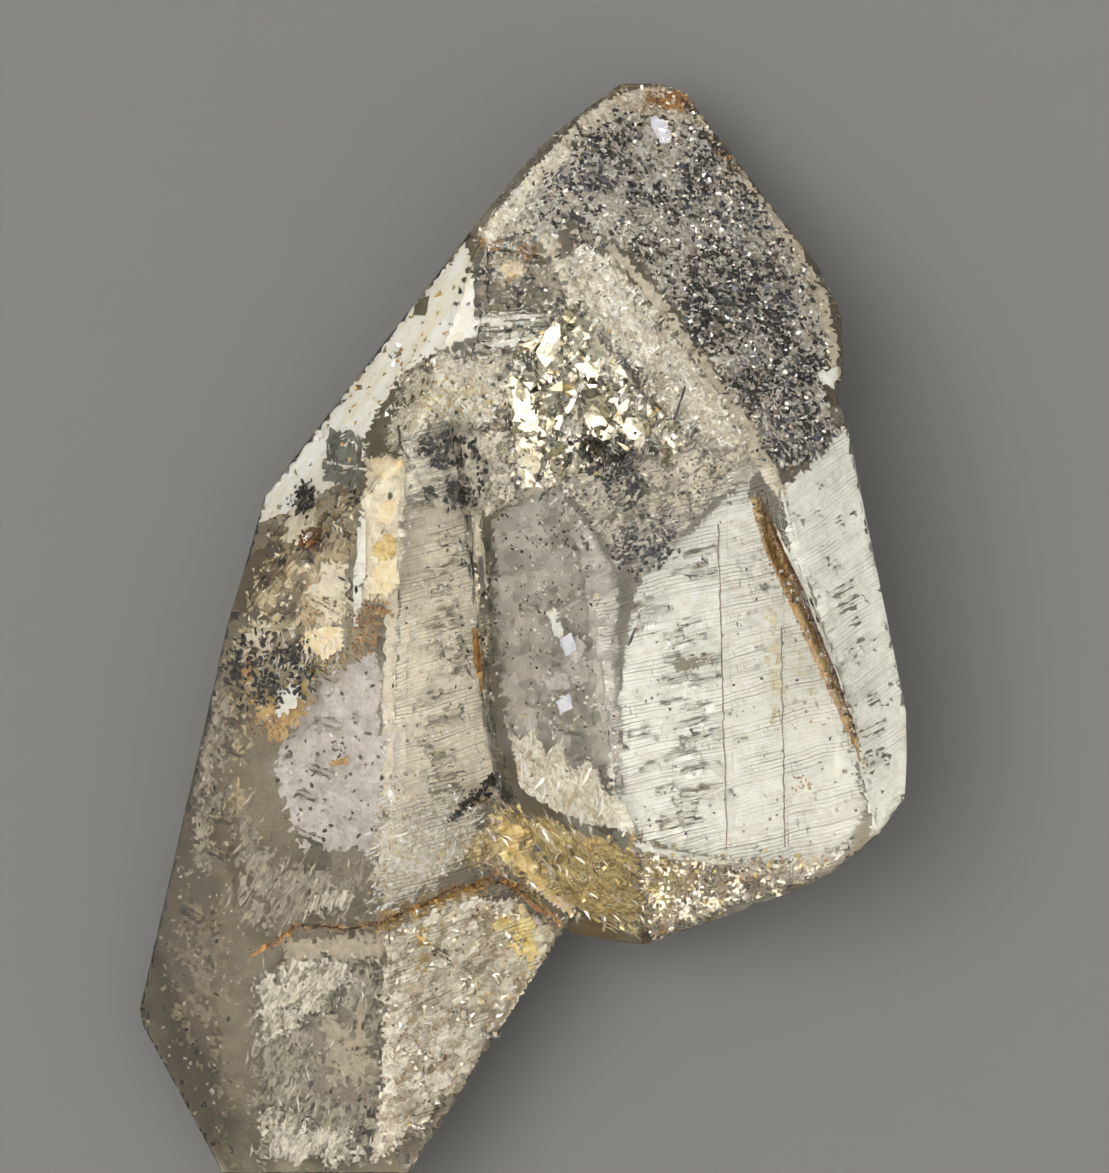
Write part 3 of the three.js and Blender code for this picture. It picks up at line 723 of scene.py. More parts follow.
def split_long_sides(points, triangles, longest):
    """Halves every side over its longest length until none is left, keeping the surface closed."""
    while True:
        sides = np.sort(np.stack([triangles, np.roll(triangles, -1, 1)], 2).reshape(-1, 2), 1)
        unique, where = np.unique(sides, axis=0, return_inverse=True)
        where = where.reshape(-1, 3)
        ends = points[unique]
        middle = ends.mean(1)
        length = np.linalg.norm(ends[:, 0] - ends[:, 1], axis=1)
        own = length[where]
        main = own >= own.max(1, keepdims=True) * 0.75
        wanted = np.zeros(len(unique), bool)
        wanted[where[main]] = True
        wanted &= length > longest(middle)
        if not wanted.any():
            return points, triangles
        new = np.full(len(unique), -1)
        new[wanted] = len(points) + np.arange(wanted.sum())
        points = np.concatenate([points, middle[wanted]])
        triangles = divided(points, triangles, new[where])


def divided(points, triangles, middles):
    """Each triangle cut at the middles of its marked sides; -1 marks a side left whole."""
    marks = (middles >= 0).sum(1)
    made = [triangles[marks == 0]]
    for turn in range(3):
        corner = np.roll(triangles, -turn, 1)
        middle = np.roll(middles, -turn, 1)
        one = (marks == 1) & (middle[:, 0] >= 0)
        a, b, c = corner[one].T
        m = middle[one, 0]
        made += [np.stack([a, m, c], 1), np.stack([m, b, c], 1)]
        two = (marks == 2) & (middle[:, 0] < 0)
        a, b, c = corner[two].T
        m, n = middle[two, 1], middle[two, 2]
        made.append(np.stack([m, c, n], 1))
        short = (np.linalg.norm(points[a] - points[m], axis=1)
                 < np.linalg.norm(points[b] - points[n], axis=1))
        made += [np.stack([a, b, np.where(short, m, n)], 1),
                 np.stack([np.where(short, a, b), m, n], 1)]
    a, b, c = triangles[marks == 3].T
    m, n, k = middles[marks == 3].T
    made += [np.stack([a, m, k], 1), np.stack([m, b, n], 1), np.stack([k, n, c], 1),
             np.stack([m, n, k], 1)]
    return np.concatenate(made)


# Large odd factors that stir a cell's place and seed into a number, kept to 32 bits
STIR_I, STIR_J, STIR_SEED, STIR_ALL = 374761393, 668265263, 1446648777, 1274126177
LOW_32, LOW_16 = 0xFFFFFFFF, 0xFFFF


def hashed(i, j, seed):
    """A repeatable number from 0 to 1 for each whole-numbered cell."""
    value = (i * STIR_I + j * STIR_J + seed * STIR_SEED) & LOW_32
    value = ((value ^ (value >> 13)) * STIR_ALL) & LOW_32
    return ((value ^ (value >> 16)) & LOW_16) / LOW_16


def facets(u, v, size, slope, seed):
    """Heights of broken facets: every cell is a small plane with its own lean."""
    u, v = u / size, v / size
    iu, iv = np.floor(u).astype(np.int64), np.floor(v).astype(np.int64)
    nearest = np.full(u.shape, 1e9)
    height = np.zeros(u.shape)
    for du in (-1, 0, 1):
        for dv in (-1, 0, 1):
            ci, cj = iu + du, iv + dv
            cu, cv = ci + hashed(ci, cj, seed), cj + hashed(ci, cj, seed + 1)
            distance = np.hypot(u - cu, v - cv)
            lean = (hashed(ci, cj, seed + 2) - 0.5) * 2 * slope * (u - cu)
            lean += (hashed(ci, cj, seed + 3) - 0.5) * 2 * slope * (v - cv)
            lean += hashed(ci, cj, seed + 4) * slope * 0.5
            height = np.where(distance < nearest, lean, height)
            nearest = np.minimum(nearest, distance)
    return height * size


def smooth_noise(u, v, seed):
    """Soft heights from 0 to 1, one wave for each unit."""
    iu, iv = np.floor(u).astype(np.int64), np.floor(v).astype(np.int64)
    fu, fv = u - iu, v - iv
    fu, fv = fu * fu * (3 - 2 * fu), fv * fv * (3 - 2 * fv)
    low = hashed(iu, iv, seed) * (1 - fu) + hashed(iu + 1, iv, seed) * fu
    high = hashed(iu, iv + 1, seed) * (1 - fu) + hashed(iu + 1, iv + 1, seed) * fu
    return low * (1 - fv) + high * fv


def corner_normals(points, triangles):
    """The mean direction at every corner, and how much the faces there agree."""
    a, b, c = (points[triangles[:, i]] for i in range(3))
    normal = np.cross(b - a, c - a)
    area = np.linalg.norm(normal, axis=1, keepdims=True)
    total = np.zeros_like(points)
    weight = np.zeros(len(points))
    for i in range(3):
        np.add.at(total, triangles[:, i], normal)
        np.add.at(weight, triangles[:, i], area[:, 0])
    length = np.linalg.norm(total, axis=1)
    return total / np.maximum(length, 1e-12)[:, None], length / np.maximum(weight, 1e-12)


def on_picture(points):
    """Where points in millimetres are seen, in picture pixels."""
    reach = (EYE.z - PICTURE_LEVEL) / (EYE.z - points[:, 2]) / PIXEL
    return (PICTURE_SIZE[0] / 2 + (points[:, 0] - EYE.x) * reach,
            PICTURE_SIZE[1] / 2 - (points[:, 1] - EYE.y) * reach)


def region(outline, px, py, fade=8.0):
    """1 well inside an outline, 0 outside, fading over some pixels."""
    return np.clip(edge_distance(outline, px, py) / fade, 0, 1)


def relief(points, normals, agree, settings):
    """The crystal's surface worn at its edges, chipped at its base and broken at its back."""
    px, py = on_picture(points)
    x, y, z = points.T
    up = np.clip(normals[:, 2] * 3, 0, 1)
    edge_noise = smooth_noise(x * 1.3 + z, y * 1.3, 5)
    wear = np.clip(1 - agree, 0, 0.5) * 2 * settings.edge_wear / MM * (0.3 + 1.4 * edge_noise)
    height = -wear
    turned = x * 0.75 + y * 0.66
    crossed = y * 0.75 - x * 0.66
    frost, rust = np.zeros(len(points)), np.zeros(len(points))
    for outline, along, size, slope, seed, depth, frosted, rusty in BROKEN_FACES:
        mark = region(outline, px, py) * up
        u, v = (crossed * along, turned) if along else (x, y)
        height -= mark * (facets(u, v, size, slope, seed) + depth)
        frost += mark * frosted
        rust += mark * rusty
    height += (smooth_noise(x * 0.45, y * 0.45 + z * 0.3, 6) - 0.5) * 0.05 * up
    back = np.clip(-normals[:, 2] * 3 - 2, 0, 1) * np.clip(0.6 - z, 0, 1)
    broken = settings.back_relief / MM * back * back_strength(px, py)
    height -= broken * np.abs(facets(x * 0.6 + y * 0.25, y, 1.5, 0.7, 26))
    rust = np.clip(rust + region(TIP, px, py, 10) * 0.5, 0, 1) * up
    return points + normals * height[:, None], np.clip(frost, 0, 1), rust


def back_strength(px, py):
    """How broken the hidden back is: rough under the pale faces, smooth under the windows."""
    pale = np.maximum(region(PRISM_FACE, px, py, 20), region(RIGHT_FACE, px, py, 20))
    pale = np.maximum(pale, region(FOOT_CENTRE, px, py, 20))
    return 0.25 + 0.75 * pale


def make_skin(sizes, colours):
    """The clear crystal itself, in place of the CAD solid."""
    fine = sizes.surface_step / MM * 1
    points, triangles = split_long_sides(SURFACE_POINTS, SURFACE_TRIANGLES,
                                         lambda middle: skin_step(middle, fine))
    normals, agree = corner_normals(points, triangles)
    shaped, frost, rust = relief(points, normals, agree, sizes)
    shaped[:, 2] = np.maximum(shaped[:, 2], 0.0)
    piece = mesh_object("quartz_skin", shaped, triangles)
    mesh = piece.data
    mesh.shade_smooth()
    mesh.set_sharp_from_angle(angle=math.radians(22))
    store_growth_lines(mesh, points, triangles)
    store_masks(mesh, normals, frost, rust)
    mesh.materials.append(clear_quartz(tuple(colours.quartz_tint)))
    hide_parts(CRYSTAL)
    return keep(piece)


# The fine part of the skin: pixels round the broken faces, and millimetres above the back
FINE_MARGIN = 6
FINE_LEVEL = 1.5


def skin_step(middle, fine):
    """The longest side wanted at each place: short on broken faces, longer on flat ones."""
    px, py = on_picture(middle)
    wanted = np.zeros(len(middle), bool)
    for outline, *_ in BROKEN_FACES:
        wanted |= edge_distance(outline, px, py) > -FINE_MARGIN
    return np.where(wanted & (middle[:, 2] > FINE_LEVEL), fine, fine * 2)


def store_growth_lines(mesh, points, triangles):
    """A map in millimetres, along and across each face's growth lines."""
    a, b, c = (points[triangles[:, i]] for i in range(3))
    normal = np.cross(b - a, c - a)
    normal /= np.maximum(np.linalg.norm(normal, axis=1, keepdims=True), 1e-12)
    best = (normal @ FACE_NORMALS.T).argmax(1)
    angle = np.radians([angle for _, angle, _ in FACE_LINES])[best]
    along = np.stack([np.cos(angle), np.sin(angle), np.zeros(len(angle))], 1)
    along -= normal * (along * normal).sum(1, keepdims=True)
    along /= np.maximum(np.linalg.norm(along, axis=1, keepdims=True), 1e-6)
    across = np.cross(normal, along)
    corners = points[triangles]
    values = np.stack([(corners * along[:, None]).sum(2), (corners * across[:, None]).sum(2)], 2)
    layer = mesh.uv_layers.new(name="growth")
    layer.data.foreach_set("uv", values.reshape(-1).astype(np.float32))


def store_masks(mesh, normals, frost, rust):
    """Where the surface is lined, frosted and stained."""
    close = normals @ FACE_NORMALS.T
    strength = np.array([s for _, _, s in FACE_LINES])[close.argmax(1)] * (close.max(1) > 0.93)
    back = np.clip(-normals[:, 2], 0, 1) * 0.15
    for name, values in (("lines", strength), ("frost", np.maximum(frost, back)), ("rust", rust)):
        layer = mesh.attributes.new(name, "FLOAT", "POINT")
        layer.data.foreach_set("value", values.astype(np.float32))


def habits(sizes):
    """The shapes of the grains in millimetres, from four mean lengths."""
    flake, speck, sparkle, shard = (length / MM for length in (
        sizes.flake_length, sizes.speck_size, sizes.sparkle_size, sizes.shard_length))
    return {
        "flake": dict(body="flake", length=flake, width=flake * 0.65, thickness=0.03, spread=0.35,
                      tilt=40, roughen=0.1),
        "crumb": dict(body="crumb", length=speck, width=speck * 0.8, thickness=speck * 0.5,
                      spread=0.35, tilt=90, roughen=0.1),
        "clot": dict(body="crumb", length=speck * 2.0, width=speck * 1.4, thickness=speck * 0.8,
                     spread=0.3, tilt=90, roughen=0.14),
        "sparkle": dict(body="flake", length=sparkle, width=sparkle * 0.75, thickness=sparkle * 0.4,
                        spread=0.3, tilt=90, roughen=0.06),
        "chip": dict(body="shard", length=shard * 0.5, width=shard * 0.35, thickness=0.1, spread=0.5,
                     tilt=70, roughen=0.15),
        "shard": dict(body="shard", length=shard, width=shard * 0.6, thickness=0.16, spread=0.6,
                      tilt=60, roughen=0.2),
        "flame": dict(body="shard", length=shard * 0.3, width=shard * 1.9, thickness=0.05,
                      spread=0.6, tilt=20, roughen=0.2),
        "blade": dict(body="shard", length=shard * 0.16, width=shard * 0.95, thickness=0.05,
                      spread=0.6, tilt=35, roughen=0.12),
    }


# Each row is a tone, a habit, an outline, a number per square millimetre, and how the grains lie
PHANTOM_GRAINS = {
    "phantom_flakes": [
        ("black", "flake", PHANTOM, 32, dict(depth=0.5, patch=28, cover=0.4, turn=-50,
                                             turn_spread=70, lean=0.2)),
        ("black", "flake", PHANTOM, 18, dict(depth=0.4, patch=7, cover=0.36, turn=-50,
                                             turn_spread=70, lean=0.5)),
        ("slate", "flake", PHANTOM, 10, dict(depth=0.45, patch=22, cover=0.4, turn=-50,
                                             turn_spread=70)),
        ("black", "crumb", spot(547, 180, 26, 34), 40, {}),
        ("black", "crumb", spot(590, 138, 34, 26), 40, {}),
        ("black", "crumb", spot(584, 240, 26, 18), 60, {}),
        ("black", "crumb", spot(640, 235, 46, 36, -40), 36, dict(patch=9, cover=0.6)),
        ("black", "crumb", spot(790, 400, 62, 70), 40, dict(patch=10, cover=0.6)),
        ("black", "crumb", spot(772, 446, 30, 24), 40, dict(patch=9, cover=0.7)),
    ],
    "phantom_grains": [
        ("pale", "sparkle", PHANTOM, 18, dict(depth=0.3, patch=12, cover=0.6)),
        ("pale", "sparkle", PHANTOM, 15, dict(depth=0.6)),
        ("taupe", "sparkle", PHANTOM, 5, dict(depth=0.5, patch=20, cover=0.6)),
    ],
}
SPECKS = {
    "dark_specks": [
        ("black", "clot", spot(448, 450, 56, 40), 60, dict(depth=0.35, patch=9, cover=0.5)),
        ("black", "clot", spot(446, 492, 50, 36), 60, dict(depth=0.35, patch=9, cover=0.5)),
        ("black", "clot", spot(474, 474, 40, 90), 24, dict(depth=0.35, patch=9, cover=0.35)),
        ("black", "clot", spot(614, 466, 92, 48, -62), 52, dict(depth=0.35, patch=10, cover=0.5)),
        ("black", "clot", spot(588, 446, 44, 30), 34, dict(depth=0.35, patch=8, cover=0.5)),
        ("black", "clot", spot(642, 545, 76, 56, 20), 44, dict(depth=0.35, patch=9, cover=0.5)),
        ("black", "crumb", MIDDLE, 16, dict(depth=0.4, patch=14, cover=0.4)),
        ("black", "crumb", [(484, 500), (520, 430), (566, 470), (600, 530), (560, 560), (500, 560)], 12,
         dict(depth=0.4, patch=12, cover=0.4)),
        ("black", "crumb", spot(514, 458, 10, 20), 70, {}),
        ("black", "crumb", SEAM, 24, dict(depth=0.3)),
        ("black", "crumb", VALLEY, 150, dict(depth=0.15)),
        ("black", "clot", spot(268, 668, 100, 80, 20), 36, dict(depth=0.35, patch=11, cover=0.5)),
        ("black", "clot", STAINED_SIDE, 5, dict(depth=0.35, patch=16, cover=0.4)),
        ("black", "clot", spot(305, 497, 20, 30), 110, dict(depth=0.25)),
        ("olive", "clot", SIDE_WINDOW, 0.6, dict(depth=0.5)),
        ("black", "crumb", INNER_FACE, 0.8, {}),
        ("black", "flake", PANE, 3, dict(turn=10, turn_spread=20)),
        ("black", "crumb", CREAM_SLOPE, 1.2, {}),
        ("black", "crumb", UPPER_LEFT, 8, dict(patch=12, cover=0.5)),
        ("black", "crumb", PRISM_FACE, 0.7, {}),
        ("black", "crumb", DARK_WINDOW, 1.5, {}),
        ("umber", "crumb", BASE_RIM, 22, dict(patch=8, cover=0.3, depth=0.3)),
        ("umber", "crumb", FOOT_RIGHT, 9, dict(depth=0.3, patch=9, cover=0.3)),
        ("olive", "shard", CRUSHED, 2.4, dict(depth=0.6)),
        ("olive", "chip", SIDE_CREAM, 2.5, {}),
        ("olive", "chip", ribbon([(414, 318), (390, 349), (362, 384), (330, 420)], 26), 1.2,
         dict(depth=0.25)),
        ("amber", "chip", LEFT_EDGE, 0.7, dict(depth=0.3)),
        ("taupe", "sparkle", CREAM_SLOPE, 2.5, {}),
        ("taupe", "crumb", MIDDLE, 8, {}),
        ("taupe", "blade", LOWER_LEFT, 1.5, dict(turn=-30, turn_spread=15)),
        ("olive", "clot", DARK_SIDE, 1.6, dict(depth=0.5, patch=18, cover=0.45)),
    ],
}
IRON_GRAINS = {
    "rust_grains": [
        ("ochre", "crumb", spot(664, 99, 40, 16), 110, dict(depth=0.25, patch=8, cover=0.7)),
        ("umber", "crumb", spot(692, 104, 26, 16), 110, dict(depth=0.25, patch=8, cover=0.7)),
        ("ochre", "crumb", spot(722, 148, 16, 46, 28), 60, dict(depth=0.25)),
        ("ochre", "crumb", spot(493, 243, 30, 18), 70, dict(depth=0.8)),
        ("ochre", "crumb", spot(528, 254, 14, 26), 70, dict(depth=0.8)),
        ("umber", "clot", spot(311, 538, 22, 28), 110, dict(depth=0.25)),
        ("ochre", "crumb", spot(366, 628, 26, 64, -20), 110, dict(depth=0.45, patch=10, cover=0.7)),
        ("ochre", "crumb", spot(318, 604, 36, 50), 34, dict(patch=10, cover=0.5)),
        ("ochre", "crumb", spot(274, 712, 58, 56, 30), 70, dict(patch=11, cover=0.55)),
        ("umber", "crumb", spot(300, 660, 90, 30, 10), 22, dict(patch=9, cover=0.5)),
        ("umber", "crumb", spot(338, 749, 9, 12), 130, {}),
        ("umber", "crumb", SIDE_WINDOW, 0.5, {}),
        ("ochre", "crumb", ribbon(CRACK_LINE, 12), 40, dict(depth=0.15, patch=9, cover=0.5)),
        ("umber", "crumb", CRACK, 50, dict(depth=0.1, patch=7, cover=0.5)),
        ("umber", "crumb", GROOVE, 60, dict(depth=0.12, patch=9, cover=0.5)),
        ("ochre", "crumb", spot(790, 725, 60, 20), 2.0, {}),
        ("ochre", "crumb", FOOT_RIGHT, 12, dict(depth=0.25, patch=12, cover=0.3)),
        ("ochre", "crumb", spot(804, 784, 30, 22), 26, dict(depth=0.3, patch=8, cover=0.5)),
        ("ochre", "crumb", BASE_RIM, 14, dict(depth=0.25, patch=9, cover=0.35)),
    ],
    "gold_flakes": [
        ("gold", "flake", GOLD, 5, dict(depth=0.8, patch=14, cover=0.6, turn=-48, turn_spread=25)),
        ("gold", "blade", GOLD, 2, dict(depth=0.8, turn=40, turn_spread=20)),
        ("gold", "chip", CRUSHED, 2.6, dict(patch=12, cover=0.5)),
        ("gold", "crumb", SIDE_CREAM, 10, dict(patch=16, cover=0.5)),
        ("gold", "crumb", spot(455, 398, 80, 46), 24, dict(patch=12, cover=0.6)),
        ("gold", "crumb", spot(512, 270, 30, 30), 40, dict(depth=0.6)),
        ("gold", "crumb", spot(322, 660, 46, 26), 60, dict(patch=8, cover=0.6)),
        ("gold", "crumb", ETCHED_LEFT, 7, {}),
        ("gold", "crumb", TIP, 14, dict(patch=10, cover=0.5)),
        ("gold", "crumb", UPPER_LEFT, 5, dict(patch=10, cover=0.5)),
        ("gold", "crumb", STAINED_SIDE, 5, dict(patch=14, cover=0.5)),
        ("gold", "crumb", FOOT_RIGHT, 8, dict(patch=14, cover=0.5)),
        ("gold", "chip", BASE_RIM, 5, {}),
    ],
}
PALE_GRAINS = {
    "slope_grains": [("pale", "sparkle", CREAM_SLOPE, 24, dict(depth=0.4))],
    "crushed_shards": [
        ("cream", "shard", CRUSHED, 2.6, dict(depth=0.5, patch=16, cover=0.6)),
        ("cream", "chip", CRUSHED, 15, dict(depth=0.6)),
        ("cream", "chip", MIDDLE, 5, dict(depth=0.5)),
        ("olive", "chip", CRUSHED, 3, dict(depth=0.4)),
    ],
    "edge_shards": [
        ("pale", "chip", [(400, 340), (446, 340), (404, 372), (366, 440), (330, 470), (280, 484)], 4,
         dict(depth=0.4)),
        ("pale", "chip", SIDE_CREAM, 9, {}),
        ("pale", "sparkle", SIDE_CREAM, 10, {}),
        ("pale", "chip", UPPER_LEFT, 6, dict(depth=0.5)),
        ("pale", "sparkle", UPPER_LEFT, 14, dict(depth=0.5)),
        ("pale", "sparkle", TIP, 20, dict(depth=0.3)),
        ("pale", "crumb", spot(512, 270, 34, 36), 70, dict(depth=0.6)),
        ("pale", "sparkle", PANE, 8, {}),
    ],
    "side_shards": [
        ("cream", "chip", STAINED_SIDE, 3, dict(depth=0.5, patch=16, cover=0.6)),
        ("pale", "blade", spot(310, 650, 90, 40, 10), 14, dict(turn=0, turn_spread=20)),
        ("beige", "blade", LOWER_LEFT, 2, dict(turn=-30, turn_spread=15)),
        ("pale", "sparkle", SIDE_WINDOW, 1.5, {}),
        ("pale", "sparkle", DARK_WINDOW, 2.5, {}),
        ("pale", "sparkle", INNER_FACE, 3, {}),
        ("beige", "sparkle", DARK_SIDE, 2.4, dict(depth=0.6, patch=18, cover=0.5)),
    ],
    "flame_shards": [
        ("pale", "flame", FLAMES, 1.5, dict(depth=0.35, turn=-15, turn_spread=20)),
        ("pale", "blade", FLAMES, 3, dict(depth=0.35, turn=-15, turn_spread=25)),
        ("pale", "blade", FOOT_CENTRE, 3, dict(depth=0.9, patch=24, cover=0.4, turn=-14,
                                               turn_spread=18)),
        ("pale", "chip", FOOT_RIGHT, 5, dict(depth=0.5)),
        ("beige", "chip", FOOT_RIGHT, 7, dict(depth=0.5)),
        ("pale", "blade", ETCHED_LEFT, 14, dict(depth=0.5, turn=-60, turn_spread=25)),
        ("pale", "sparkle", ETCHED_LEFT, 20, dict(depth=0.5)),
        ("pale", "blade", GOLD, 4, dict(depth=0.7, turn=40, turn_spread=20)),
    ],
    "rim_chips": [
        ("cream", "chip", BASE_RIM, 9, dict(depth=0.3)),
        ("pale", "sparkle", BASE_RIM, 8, dict(depth=0.4)),
        ("sand", "chip", BASE_RIM, 9, dict(depth=0.3)),
    ],
}


def make_grains(pieces, sizes, first_seed):
    """Scatters the rows of each piece and joins them."""
    kinds = habits(sizes)
    seed = first_seed
    for piece, rows in pieces.items():
        parts = []
        for tone, habit, outline, density, options in rows:
            seed += 1
            parts.append(scatter(piece + "_row", outline, grain_finish(tone),
                                 density=density * sizes.grain_density, seed=seed,
                                 **kinds[habit], **options))
        keep(joined(piece, parts))


# Films lie behind the surface: tone, outline, depth in millimetres, and over how many pixels they fray
FILM_STEP = 4.0
FILM_THICKNESS = 0.05
IRON_FILMS = [
    ("amber", ribbon([(360, 930), (420, 908), (490, 888)], 26), 0.5, 14),
    ("amber", [(246, 692), (312, 672), (324, 700), (292, 744), (256, 746)], 0.7, 22),
    ("ochre", spot(672, 101, 58, 24), 0.2, 8),
    ("umber", spot(694, 106, 24, 18), 0.14, 5),
    ("olive", [(192, 1084), (224, 1120), (246, 1172), (226, 1172)], 0.5, 9),
    ("ochre", spot(492, 244, 28, 16), 0.6, 6),
    ("olive", spot(520, 252, 12, 30), 0.7, 6),
    ("olive", spot(540, 262, 26, 14), 0.7, 6),
    ("amber", GROOVE, 0.14, 3),
    ("ochre", ribbon([(752, 506), (766, 550), (790, 600), (820, 668), (848, 730), (864, 770)],
                     2, 3, 5, 4, 4, 2), 0.08, 1),
    ("umber", ribbon([(762, 506), (782, 549), (802, 598), (834, 672), (858, 740)],
                     1.5, 4, 5, 5, 2), 0.08, 1),
    ("ochre", CRACK, 0.12, 2),
    ("umber", ribbon(CRACK_LINE[3:17], 2), 0.08, 0),
    ("olive", SEAM, 0.25, 3),
    ("black", VALLEY, 0.12, 4),
    ("ochre", ribbon([(475, 628), (477, 660), (484, 692)], 5, 9, 4), 0.15, 0),
    ("ochre", ribbon([(330, 764), (350, 760)], 9, 9), 0.9, 4),
    ("umber", spot(311, 538, 16, 24), 0.3, 2),
    ("black", spot(305, 497, 12, 18), 0.35, 2),
    # yellow stain along the gold ridge, partly painted highlight and glow
    ("gold_stain_and_glow", ribbon([(500, 806), (512, 846), (534, 880), (566, 910)], 16, 46, 36, 16), 0.3, 22),
    ("gold", [(372, 538), (390, 532), (401, 538), (398, 560), (382, 566), (370, 556)], 0.4, 7),
    ("ochre", [(372, 598), (394, 592), (396, 622), (384, 652), (366, 668), (364, 640)], 0.4, 20),
    ("ochre", spot(252, 664, 22, 46, -14), 0.5, 10),
    ("olive", [(415, 302), (430, 295), (425, 316), (414, 315)], 0.2, 0),
    ("olive", ribbon([(378, 434), (388, 452), (404, 456)], 2.5), 0.2, 0),
    ("olive", ribbon([(398, 425), (400, 446), (408, 458)], 2.5), 0.2, 0),
    ("olive", [(555, 319), (574, 344), (567, 348), (558, 332)], 0.3, 0),
    ("olive", [(580, 370), (596, 375), (597, 403), (583, 397)], 0.5, 4),
    ("black", ribbon([(675, 419), (685, 386)], 2), 0.2, 0),
    ("black", ribbon([(628, 645), (636, 628)], 3), 0.3, 0),
    ("gold", [(564, 381), (576, 387), (571, 400), (558, 391)], 0.4, 0),
    ("gold", [(556, 322), (564, 330), (560, 346), (553, 338)], 0.3, 0),
    ("gold_stain_and_glow", [(478, 902), (520, 898), (562, 932), (534, 974), (496, 950)], 0.25, 28),
    ("amber", [(404, 930), (432, 924), (440, 960), (412, 990)], 0.25, 22),
]
WINDOW_FILMS = [
    ("glass", [(328, 430), (352, 428), (364, 442), (362, 490), (322, 484), (324, 448)], 0.22, 5),
    # painted reflection: the dark reflection in the middle of the foot's face
    ("taupe", [(304, 1020), (340, 1004), (384, 1030), (388, 1082), (356, 1112), (308, 1092)], 0.8, 16),
    ("shade", CLEAR_BLOCK, 1.2, 8),
    ("shade", [(482, 284), (500, 278), (540, 284), (562, 304), (556, 316), (484, 318)], 1.0, 4),
    ("shade", ribbon([(504, 322), (556, 316)], 2), 0.4, 0),
    ("shade", ribbon([(718, 523), (723, 700), (727, 851)], 1.6), 0.08, 0),
    ("shade", ribbon([(781, 626), (785, 848)], 1.6), 0.08, 0),
    ("shade", ribbon([(672, 668), (718, 658)], 14), 0.9, 5),
    ("shade", [(176, 884), (230, 880), (258, 944), (240, 1030), (248, 1120), (222, 1150), (190, 1070),
               (158, 1000), (150, 950)], 1.4, 60),
]
